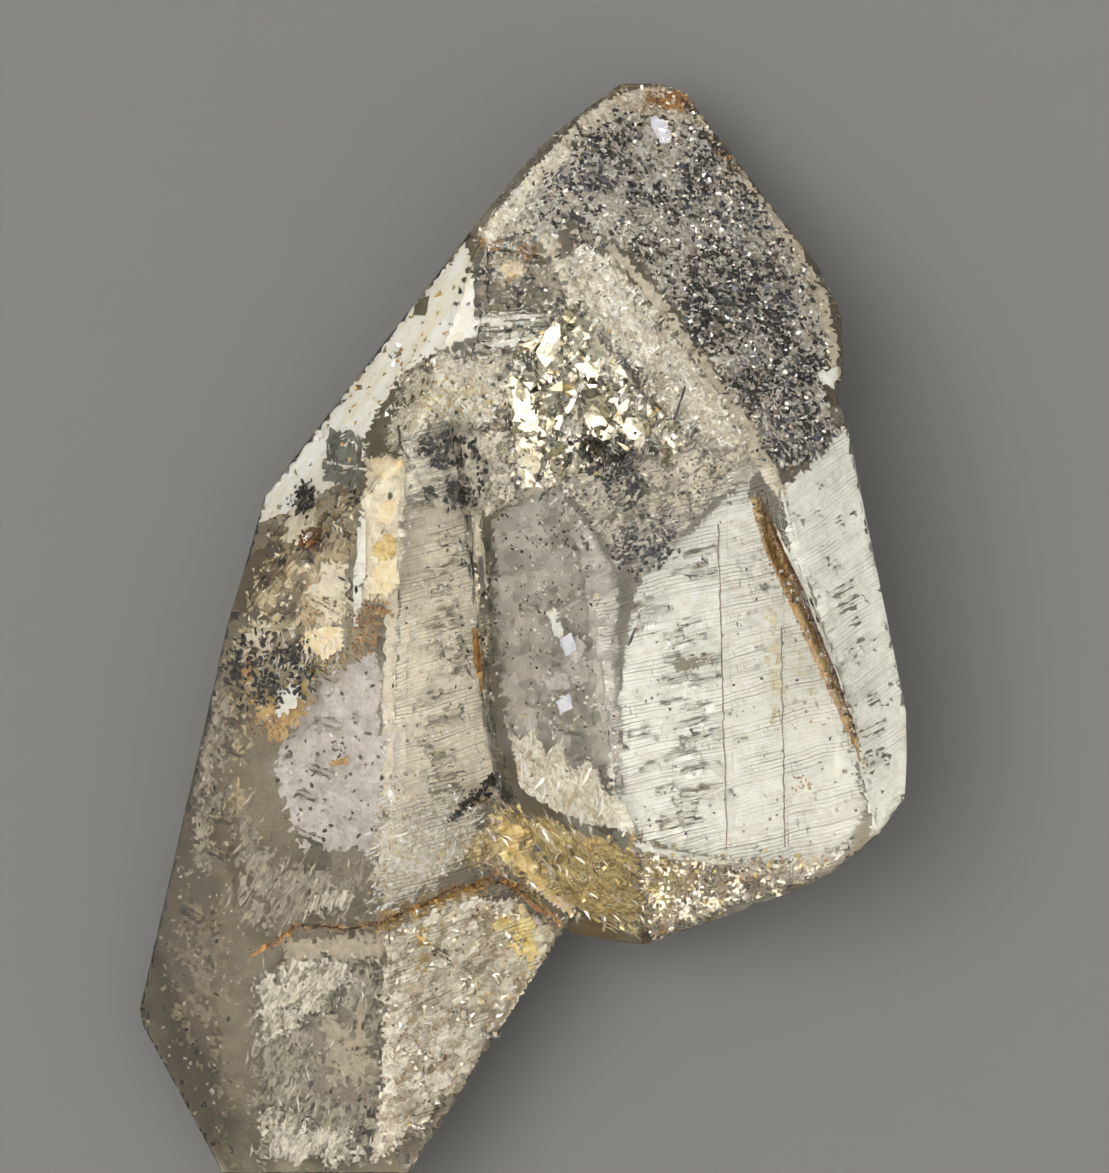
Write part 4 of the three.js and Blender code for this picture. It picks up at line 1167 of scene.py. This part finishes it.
# Pale films: milky quartz in part; their brightness also paints in light that the clear crystal gathers by
# internal reflection, and some rows are painted highlights
PALE_FILMS = [
    # milky film on the left bevel, partly painted highlight: made near white where the bevel faces the light
    ("ivory", LEFT_EDGE, 0.4, 4),
    ("broken", [(398, 446), (440, 428), (508, 428), (520, 500), (484, 520), (474, 500), (392, 504)],
     0.9, 8),
    ("feather", [(248, 972), (300, 946), (356, 950), (376, 990), (330, 1010), (290, 1040),
                 (252, 1060)], 0.7, 26),
    ("feather", [(246, 1110), (300, 1100), (352, 1120), (376, 1140), (350, 1172), (258, 1172)], 0.8, 26),
    ("smoky", [(238, 640), (262, 700), (236, 770), (232, 880), (182, 880), (180, 760), (214, 660)],
     1.4, 40),
    ("ground", FLAMES, 0.5, 3),
    ("feather", [(300, 890), (350, 880), (372, 900), (350, 916), (300, 918)], 1.0, 14),
    ("milk", ribbon([(476, 322), (556, 318)], 11), 0.5, 3),
    ("milk", ribbon([(490, 345), (556, 336)], 9), 0.5, 3),
    ("cream", [(553, 319), (560, 325), (560, 347), (546, 368), (536, 352), (546, 331)], 0.15, 0),
    ("cream", [(513, 375), (527, 387), (542, 431), (514, 431), (508, 400), (500, 376)], 0.3, 3),
    ("cream", [(516, 436), (544, 434), (542, 466), (521, 494), (515, 481)], 0.3, 3),
    ("cream", [(574, 364), (605, 359), (599, 375), (580, 378)], 0.2, 0),
    ("cream", [(592, 406), (617, 431), (611, 447), (592, 433), (583, 416)], 0.2, 0),
    ("cream", [(617, 409), (646, 425), (646, 447), (629, 450), (619, 427)], 0.3, 3),
    ("milk", ribbon([(566, 412), (582, 384)], 4), 0.2, 0),
    ("milk", ribbon([(363, 514), (360, 570), (354, 632)], 12, 13, 9), 0.3, 4),
    ("milk", ribbon([(326, 462), (366, 470)], 2.5), 0.2, 0),
    # painted highlight: a white block on the stained side
    ("milk", [(272, 686), (304, 682), (298, 712), (276, 722)], 0.35, 6),
    ("milk", [(815, 372), (838, 366), (838, 388), (822, 386)], 0.2, 2),
    ("butter", [(364, 458), (388, 454), (408, 459), (402, 474), (384, 486), (368, 478)], 0.35, 6),
    ("butter", [(374, 504), (388, 500), (402, 494), (398, 520), (384, 528), (372, 524)], 0.35, 6),
    ("butter", [(368, 566), (384, 556), (399, 562), (397, 588), (386, 602), (366, 596)], 0.35, 6),
    ("cream", [(362, 456), (408, 456), (404, 560), (390, 606), (360, 602)], 0.6, 5),
    ("cream", [(286, 506), (318, 500), (322, 524), (304, 548), (280, 540)], 0.6, 10),
    ("sand", [(318, 560), (350, 552), (352, 616), (322, 640), (306, 600)], 0.7, 12),
    ("cream", [(228, 640), (262, 610), (282, 640), (262, 676), (236, 676)], 0.7, 12),
    # painted highlight: a butter-white patch where a highlight falls on the stained side
    ("butter", [(302, 628), (346, 623), (348, 650), (322, 662), (300, 652)], 0.3, 6),
    ("butter", spot(350, 425, 30, 18), 0.5, 5),
    ("butter", spot(512, 270, 28, 24), 0.45, 4),
    # painted highlight: butter-white streak along the lower edge of the gold base
    ("butter", ribbon([(530, 884), (556, 900), (580, 920)], 9, 12, 8), 0.4, 4),
    # painted highlight: a glint on the tip
    ("painted_glint", spot(661, 130, 18, 34, 30), 0.12, 2),
    ("lilac", [(556, 632), (592, 640), (574, 668)], 0.8, 3),
    ("lilac", [(590, 622), (614, 640), (600, 662)], 0.8, 3),
    ("lilac", [(540, 676), (566, 672), (572, 690), (548, 692)], 0.8, 3),
    ("speckled", PHANTOM, 0.9, 10),
    ("beige", CLEAR_BAND, 0.9, 6),
    ("ground", CREAM_SLOPE, 0.7, 10),
    ("ground", TIP, 0.6, 6),
    ("ground", LEFT_RIM, 0.45, 5),
    ("beige", RIGHT_RIM, 0.6, 5),
    ("crushed", CRUSHED, 1.1, 14),
    ("broken", MIDDLE, 1.1, 20),
    ("ground", SIDE_CREAM, 0.8, 16),
    ("ground", UPPER_LEFT, 1.0, 10),
    ("stained", STAINED_SIDE, 1.0, 34),
    ("smoky", LOWER_LEFT, 1.4, 40),
    ("haze", DARK_WINDOW, 2.2, 12),
    ("lilac", SIDE_WINDOW, 2.2, 14),
    ("rime", BASE_RIM, 0.35, 6),
    ("torn", FOOT_RIGHT, 0.4, 10),
    # painted sheen over the foot's centre
    ("painted_silver_sheen", FOOT_CENTRE, 1.2, 30),
    ("golden", GOLD, 0.9, 14),
    ("beige", PANE, 2.0, 10),
    # milky films under the two right faces, partly painted light: the faces' pale glow
    ("milk", RIGHT_FACE, 0.9, 8),
    ("milk", PRISM_FACE, 2.5, 8),
    ("sand", INNER_FACE, 2.5, 8),
    ("ground", ETCHED_LEFT, 0.8, 16),
    ("golden", [(634, 848), (684, 862), (700, 888), (676, 924), (644, 938)], 0.3, 24),
    ("straw", ribbon([(770, 600), (778, 660), (776, 724)], 20, 32, 18), 0.5, 24),
    ("straw", ribbon([(792, 640), (806, 672), (816, 700)], 8, 16, 8), 0.5, 14),
    ("stained", [(240, 700), (262, 728), (258, 800), (240, 862), (216, 850), (222, 760)], 1.2, 30),
    # painted highlights: two glints in the dark window
    ("painted_glint", [(560, 640), (572, 632), (577, 650), (566, 657)], 0.4, 0),
    ("painted_glint", [(556, 702), (569, 693), (573, 708), (561, 714)], 0.4, 0),
    ("milk", [(546, 612), (556, 606), (566, 634), (555, 640)], 0.4, 2),
    ("ground", ribbon([(546, 238), (560, 266), (580, 308)], 18, 22, 18), 1.0, 7),
    ("stone", ribbon([(280, 954), (340, 948), (398, 944)], 36), 0.9, 16),
    ("stone", [(300, 1006), (346, 996), (390, 1016), (392, 1112), (306, 1104)], 0.7, 50),
    ("broken", [(408, 372), (440, 354), (558, 358), (570, 304), (600, 300), (660, 352), (716, 404),
                (764, 470), (716, 500), (640, 580), (600, 540), (560, 484), (490, 516), (404, 505),
                (372, 480)], 1.7, 6),
]


def make_films(rows, first_seed):
    """Lays thin closed films such as stains in cracks, milky veils and painted highlights, and joins those
    of each tone.
    """
    for tone in dict.fromkeys(row[0] for row in rows):
        parts = []
        for i, (own, outline, depth, fray) in enumerate(rows):
            if own == tone:
                placed, faces = sheet(outline, depth, step=FILM_STEP, ragged=1.5 + min(fray, 6) * 0.5,
                                      seed=first_seed + i, fray=fray)
                parts.append(film_mesh(tone + "_row", placed, faces, FILM_THICKNESS))
                parts[-1].data.materials.append(film_finish(tone))
        keep(joined(tone + "_films", parts))


# The milky veil along the back takes its tone area by area, fading over some pixels; the pale tones are
# partly painted light, standing in for light the clear crystal gathers by internal reflection
VEIL_AREAS = [
    (UPPER_LEFT, "cream", 20), (LEFT_EDGE, "milk", 16), (PANE, "stone", 10),
    (SIDE_CREAM, "cream", 24), (CRUSHED, "cream", 24), (MIDDLE, "beige", 30),
    (CLEAR_BLOCK, "stone", 8), (PRISM_FACE, "milk", 26), (RIGHT_FACE, "milk", 20),
    (INNER_FACE, "sand", 16), (SIDE_WINDOW, "lilac", 20), (DARK_WINDOW, "lilac", 14),
    (LOWER_LEFT, "shade", 26), (STAINED_SIDE, "shade", 30), (DARK_SIDE, "taupe", 30),
    (ETCHED_LEFT, "beige", 24), (GOLD, "amber", 24), (BASE_RIM, "cream", 20),
    (FOOT_CENTRE, "shade", 30), (FOOT_RIGHT, "beige", 30),
]
BACK = 40.0
VEIL_THICKNESS = 0.15
VEIL_SEED = 90


def veil_colours(px, py):
    """The back veil's colour at each pixel, blended from one area to the next."""
    wide = (smooth_noise(px / 24, py / 24, 61) - 0.5) * 30
    tall = (smooth_noise(px / 24, py / 24, 62) - 0.5) * 30
    colour = np.tile(middle_tone("stone"), (len(px), 1))
    for outline, tone, fade in VEIL_AREAS:
        share = region(outline, px + wide, py + tall, fade)[:, None]
        colour += (middle_tone(tone) - colour) * share
    return colour


def middle_tone(tone):
    """A tone's middle colour."""
    dark, light = TONES[tone]
    return np.array(linear(*(a * 0.4 + b * 0.6 for a, b in zip(dark, light))))


def make_back_veil(sizes):
    """The milky quartz that lines the crystal's back, in one sheet; its pale tones partly paint in light
    gathered by internal reflection.
    """
    placed, faces = sheet(WHOLE, BACK, step=sizes.veil_step / MM / PIXEL, ragged=0.0, seed=VEIL_SEED)
    piece = film_mesh("back_veil", placed, faces, VEIL_THICKNESS)
    px, py = (np.array([p[axis] for p in placed]) for axis in (1, 2))
    colours = np.ones((len(placed) * 2, 4), np.float32)
    colours[:, :3] = np.tile(veil_colours(px, py), (2, 1))
    layer = piece.data.attributes.new("tone", "FLOAT_COLOR", "POINT")
    layer.data.foreach_set("color", colours.reshape(-1))
    material, tree, principled = shader("back_veil", Roughness=0.7)
    tone = add(tree, "ShaderNodeAttribute", attribute_name="tone").outputs["Color"]
    cloud = scattered_noise(tree, 1.4, 6.0, 0.75)
    grainy = ramp(tree, cloud, (0.3, (0.74, 0.72, 0.68)), (0.62, (1.0, 1.0, 1.0)))
    tree.links.new(blended(tree, 1.0, tone, grainy, "MULTIPLY"), principled.inputs["Base Color"])
    bump(tree, principled, cloud, 0.08)
    piece.data.materials.append(material)
    keep(piece)


# The floor's half width and how far it lies below the crystal, in metres
FLOOR_REACH = 2.0
FLOOR_DROP = 0.0001


def make_stage(settings):
    """A pale floor, soft studio light and the camera above the crystal."""
    mesh = bpy.data.meshes.new("floor")
    corners = [(-FLOOR_REACH, -FLOOR_REACH), (FLOOR_REACH, -FLOOR_REACH),
               (FLOOR_REACH, FLOOR_REACH), (-FLOOR_REACH, FLOOR_REACH)]
    mesh.from_pydata([(x, y, -FLOOR_DROP) for x, y in corners], [], [(0, 1, 2, 3)])
    floor = bpy.data.objects.new("floor", mesh)
    bpy.context.scene.collection.objects.link(floor)
    material, tree, principled = shader("floor_paint", Roughness=0.8)
    cloud = scattered_noise(tree, 0.01, 2.0)
    shade = tuple(settings.floor_colour)
    tree.links.new(ramp(tree, cloud, (0.3, tuple(c * 0.97 for c in shade)), (0.7, shade)),
                   principled.inputs["Base Color"])
    mesh.materials.append(material)
    soft_light(settings)
    camera = bpy.data.cameras.new("camera")
    camera.sensor_width = SENSOR
    camera.lens = SENSOR * (EYE.z - PICTURE_LEVEL) / (PICTURE_SIZE[1] * PIXEL)
    camera.clip_start = 0.01
    holder = bpy.data.objects.new("camera", camera)
    holder.location = EYE * MM
    bpy.context.scene.collection.objects.link(holder)
    bpy.context.scene.camera = holder
    scene = bpy.context.scene
    scene.view_settings.view_transform = "Standard"
    cycles = scene.cycles
    cycles.max_bounces = 10
    cycles.transmission_bounces = 9
    cycles.glossy_bounces = 8
    cycles.diffuse_bounces = 4
    cycles.sample_clamp_indirect = 4.0
    cycles.adaptive_threshold = 0.2
    cycles.adaptive_min_samples = 8


SOFTBOX = Vector((-0.35, 0.1, 0.93)).normalized()


def soft_light(settings):
    """A dome that is bright above and darker towards the horizon, with one large soft window."""
    world = bpy.data.worlds.new("studio")
    bpy.context.scene.world = world
    world.use_nodes = True
    tree = world.node_tree
    direction = add(tree, "ShaderNodeTexCoord").outputs["Generated"]
    height = add(tree, "ShaderNodeSeparateXYZ", {0: direction}).outputs[2]
    background = tree.nodes["Background"]
    dome = ramp(tree, height, (0.0, (0.2, 0.2, 0.2)), (0.25, (0.32, 0.32, 0.315)),
                (0.6, (0.55, 0.545, 0.53)), (0.82, (0.82, 0.81, 0.78)), (0.95, (1.45, 1.43, 1.37)))
    facing = add(tree, "ShaderNodeVectorMath", {0: direction, 1: SOFTBOX}, operation="DOT_PRODUCT")
    window = ramp(tree, facing.outputs["Value"], (0.925, (0.0, 0.0, 0.0)), (0.96, (1.0, 0.97, 0.92)))
    bright = add(tree, "ShaderNodeVectorMath", {0: window, 3: settings.window_light},
                 operation="SCALE")
    total = add(tree, "ShaderNodeVectorMath", {0: dome, 1: bright.outputs[0]}, operation="ADD")
    tree.links.new(total.outputs[0], background.inputs[0])
    background.inputs[1].default_value = settings.dome_light


def length_setting(name, millimetres, description):
    """A length that a user can change, in the scene's unit."""
    return FloatProperty(name=name, description=description, default=millimetres * MM, unit="LENGTH",
                         precision=5)


class QuartzSizes(bpy.types.PropertyGroup):
    """Sizes of the crystal's surface and of what is enclosed in it."""
    surface_step: length_setting("Surface step", 0.31, "Longest side of the skin's triangles")
    edge_wear: length_setting("Edge wear", 0.06, "How far the crystal's edges are rubbed back")
    back_relief: length_setting("Back relief", 0.3, "Depth scale of the broken back")
    veil_step: length_setting("Veil step", 0.22, "Distance between the back veil's points")
    flake_length: length_setting("Flake length", 0.31, "Mean length of a black flake")
    speck_size: length_setting("Speck size", 0.19, "Mean length of a speck or crumb")
    sparkle_size: length_setting("Sparkle size", 0.18, "Mean length of a pale sparkling grain")
    shard_length: length_setting("Shard length", 0.8, "Mean length of a broken pale shard")
    grain_density: FloatProperty(name="Grain density", description="Number of grains, as a share",
                                 default=1.0, min=0.01)


class QuartzColours(bpy.types.PropertyGroup):
    """Colours of the crystal, its inclusions and the studio."""
    quartz_tint: FloatVectorProperty(name="Quartz tint", description="Colour of light through the crystal",
                                     subtype="COLOR", default=(0.9, 0.89, 0.76))
    floor_colour: FloatVectorProperty(name="Floor", description="Colour of the studio floor",
                                      subtype="COLOR", default=linear(86, 85, 84))
    dome_light: FloatProperty(name="Dome light", description="Brightness of the dome", default=1.7)
    window_light: FloatProperty(name="Window light", description="Brightness of the soft window",
                                default=5.0)


class GrowSkin(bpy.types.Operator):
    """Makes the clear crystal in place of the CAD solid"""
    bl_idname = "phantom_quartz.grow_skin"
    bl_label = "Grow crystal"

    def execute(self, context):
        make_skin(context.scene.quartz_sizes, context.scene.quartz_colours)
        return {"FINISHED"}


class LayBackVeil(bpy.types.Operator):
    """Lays the milky quartz along the back of the crystal"""
    bl_idname = "phantom_quartz.lay_back_veil"
    bl_label = "Lay back veil"

    def execute(self, context):
        make_back_veil(context.scene.quartz_sizes)
        return {"FINISHED"}


class ScatterPhantom(bpy.types.Operator):
    """Scatters the black flakes and pale grains of the phantom"""
    bl_idname = "phantom_quartz.scatter_phantom"
    bl_label = "Scatter phantom"

    def execute(self, context):
        make_grains(PHANTOM_GRAINS, context.scene.quartz_sizes, first_seed=200)
        return {"FINISHED"}


class ScatterSpecks(bpy.types.Operator):
    """Scatters the dark specks in their clusters"""
    bl_idname = "phantom_quartz.scatter_specks"
    bl_label = "Scatter specks"

    def execute(self, context):
        make_grains(SPECKS, context.scene.quartz_sizes, first_seed=300)
        return {"FINISHED"}


class LayStains(bpy.types.Operator):
    """Lays the iron stains in grooves and cracks, with their rusty and golden grains"""
    bl_idname = "phantom_quartz.lay_stains"
    bl_label = "Lay iron stains"

    def execute(self, context):
        make_films(IRON_FILMS, first_seed=400)
        make_grains(IRON_GRAINS, context.scene.quartz_sizes, first_seed=450)
        return {"FINISHED"}


class LayVeils(bpy.types.Operator):
    """Lays the pale films and the small dark windows between them"""
    bl_idname = "phantom_quartz.lay_veils"
    bl_label = "Lay milky veils"

    def execute(self, context):
        make_films(PALE_FILMS, first_seed=500)
        make_films(WINDOW_FILMS, first_seed=560)
        return {"FINISHED"}


class ScatterShards(bpy.types.Operator):
    """Scatters the pale shards, chips and sparkling grains"""
    bl_idname = "phantom_quartz.scatter_shards"
    bl_label = "Scatter shards"

    def execute(self, context):
        make_grains(PALE_GRAINS, context.scene.quartz_sizes, first_seed=600)
        return {"FINISHED"}


class SetStage(bpy.types.Operator):
    """Sets the floor, the lights and the camera"""
    bl_idname = "phantom_quartz.set_stage"
    bl_label = "Set stage"

    def execute(self, context):
        make_stage(context.scene.quartz_colours)
        return {"FINISHED"}


STEPS = (SetStage, GrowSkin, LayBackVeil, ScatterPhantom, ScatterSpecks, LayStains, LayVeils,
         ScatterShards)


class QuartzPanel(bpy.types.Panel):
    """Lists the steps that build the crystal, with its sizes and colours"""
    bl_idname = "VIEW3D_PT_phantom_quartz"
    bl_label = "Black Phantom Quartz"
    bl_space_type = "VIEW_3D"
    bl_region_type = "UI"
    bl_category = "Phantom Quartz"

    def draw(self, context):
        for group in (context.scene.quartz_sizes, context.scene.quartz_colours):
            for name in group.__annotations__:
                self.layout.prop(group, name)
        for step in STEPS:
            self.layout.operator(step.bl_idname)


CLASSES = (QuartzSizes, QuartzColours, *STEPS, QuartzPanel)


def register():
    """Adds the classes and the scene's settings."""
    for cls in CLASSES:
        bpy.utils.register_class(cls)
    bpy.types.Scene.quartz_sizes = PointerProperty(type=QuartzSizes)
    bpy.types.Scene.quartz_colours = PointerProperty(type=QuartzColours)


def unregister():
    """Removes the settings and the classes."""
    del bpy.types.Scene.quartz_colours
    del bpy.types.Scene.quartz_sizes
    for cls in reversed(CLASSES):
        bpy.utils.unregister_class(cls)


def main():
    """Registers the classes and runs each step."""
    register()
    for step in STEPS:
        group, name = step.bl_idname.split(".")
        getattr(getattr(bpy.ops, group), name)()
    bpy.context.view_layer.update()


if __name__ == "__main__":
    main()
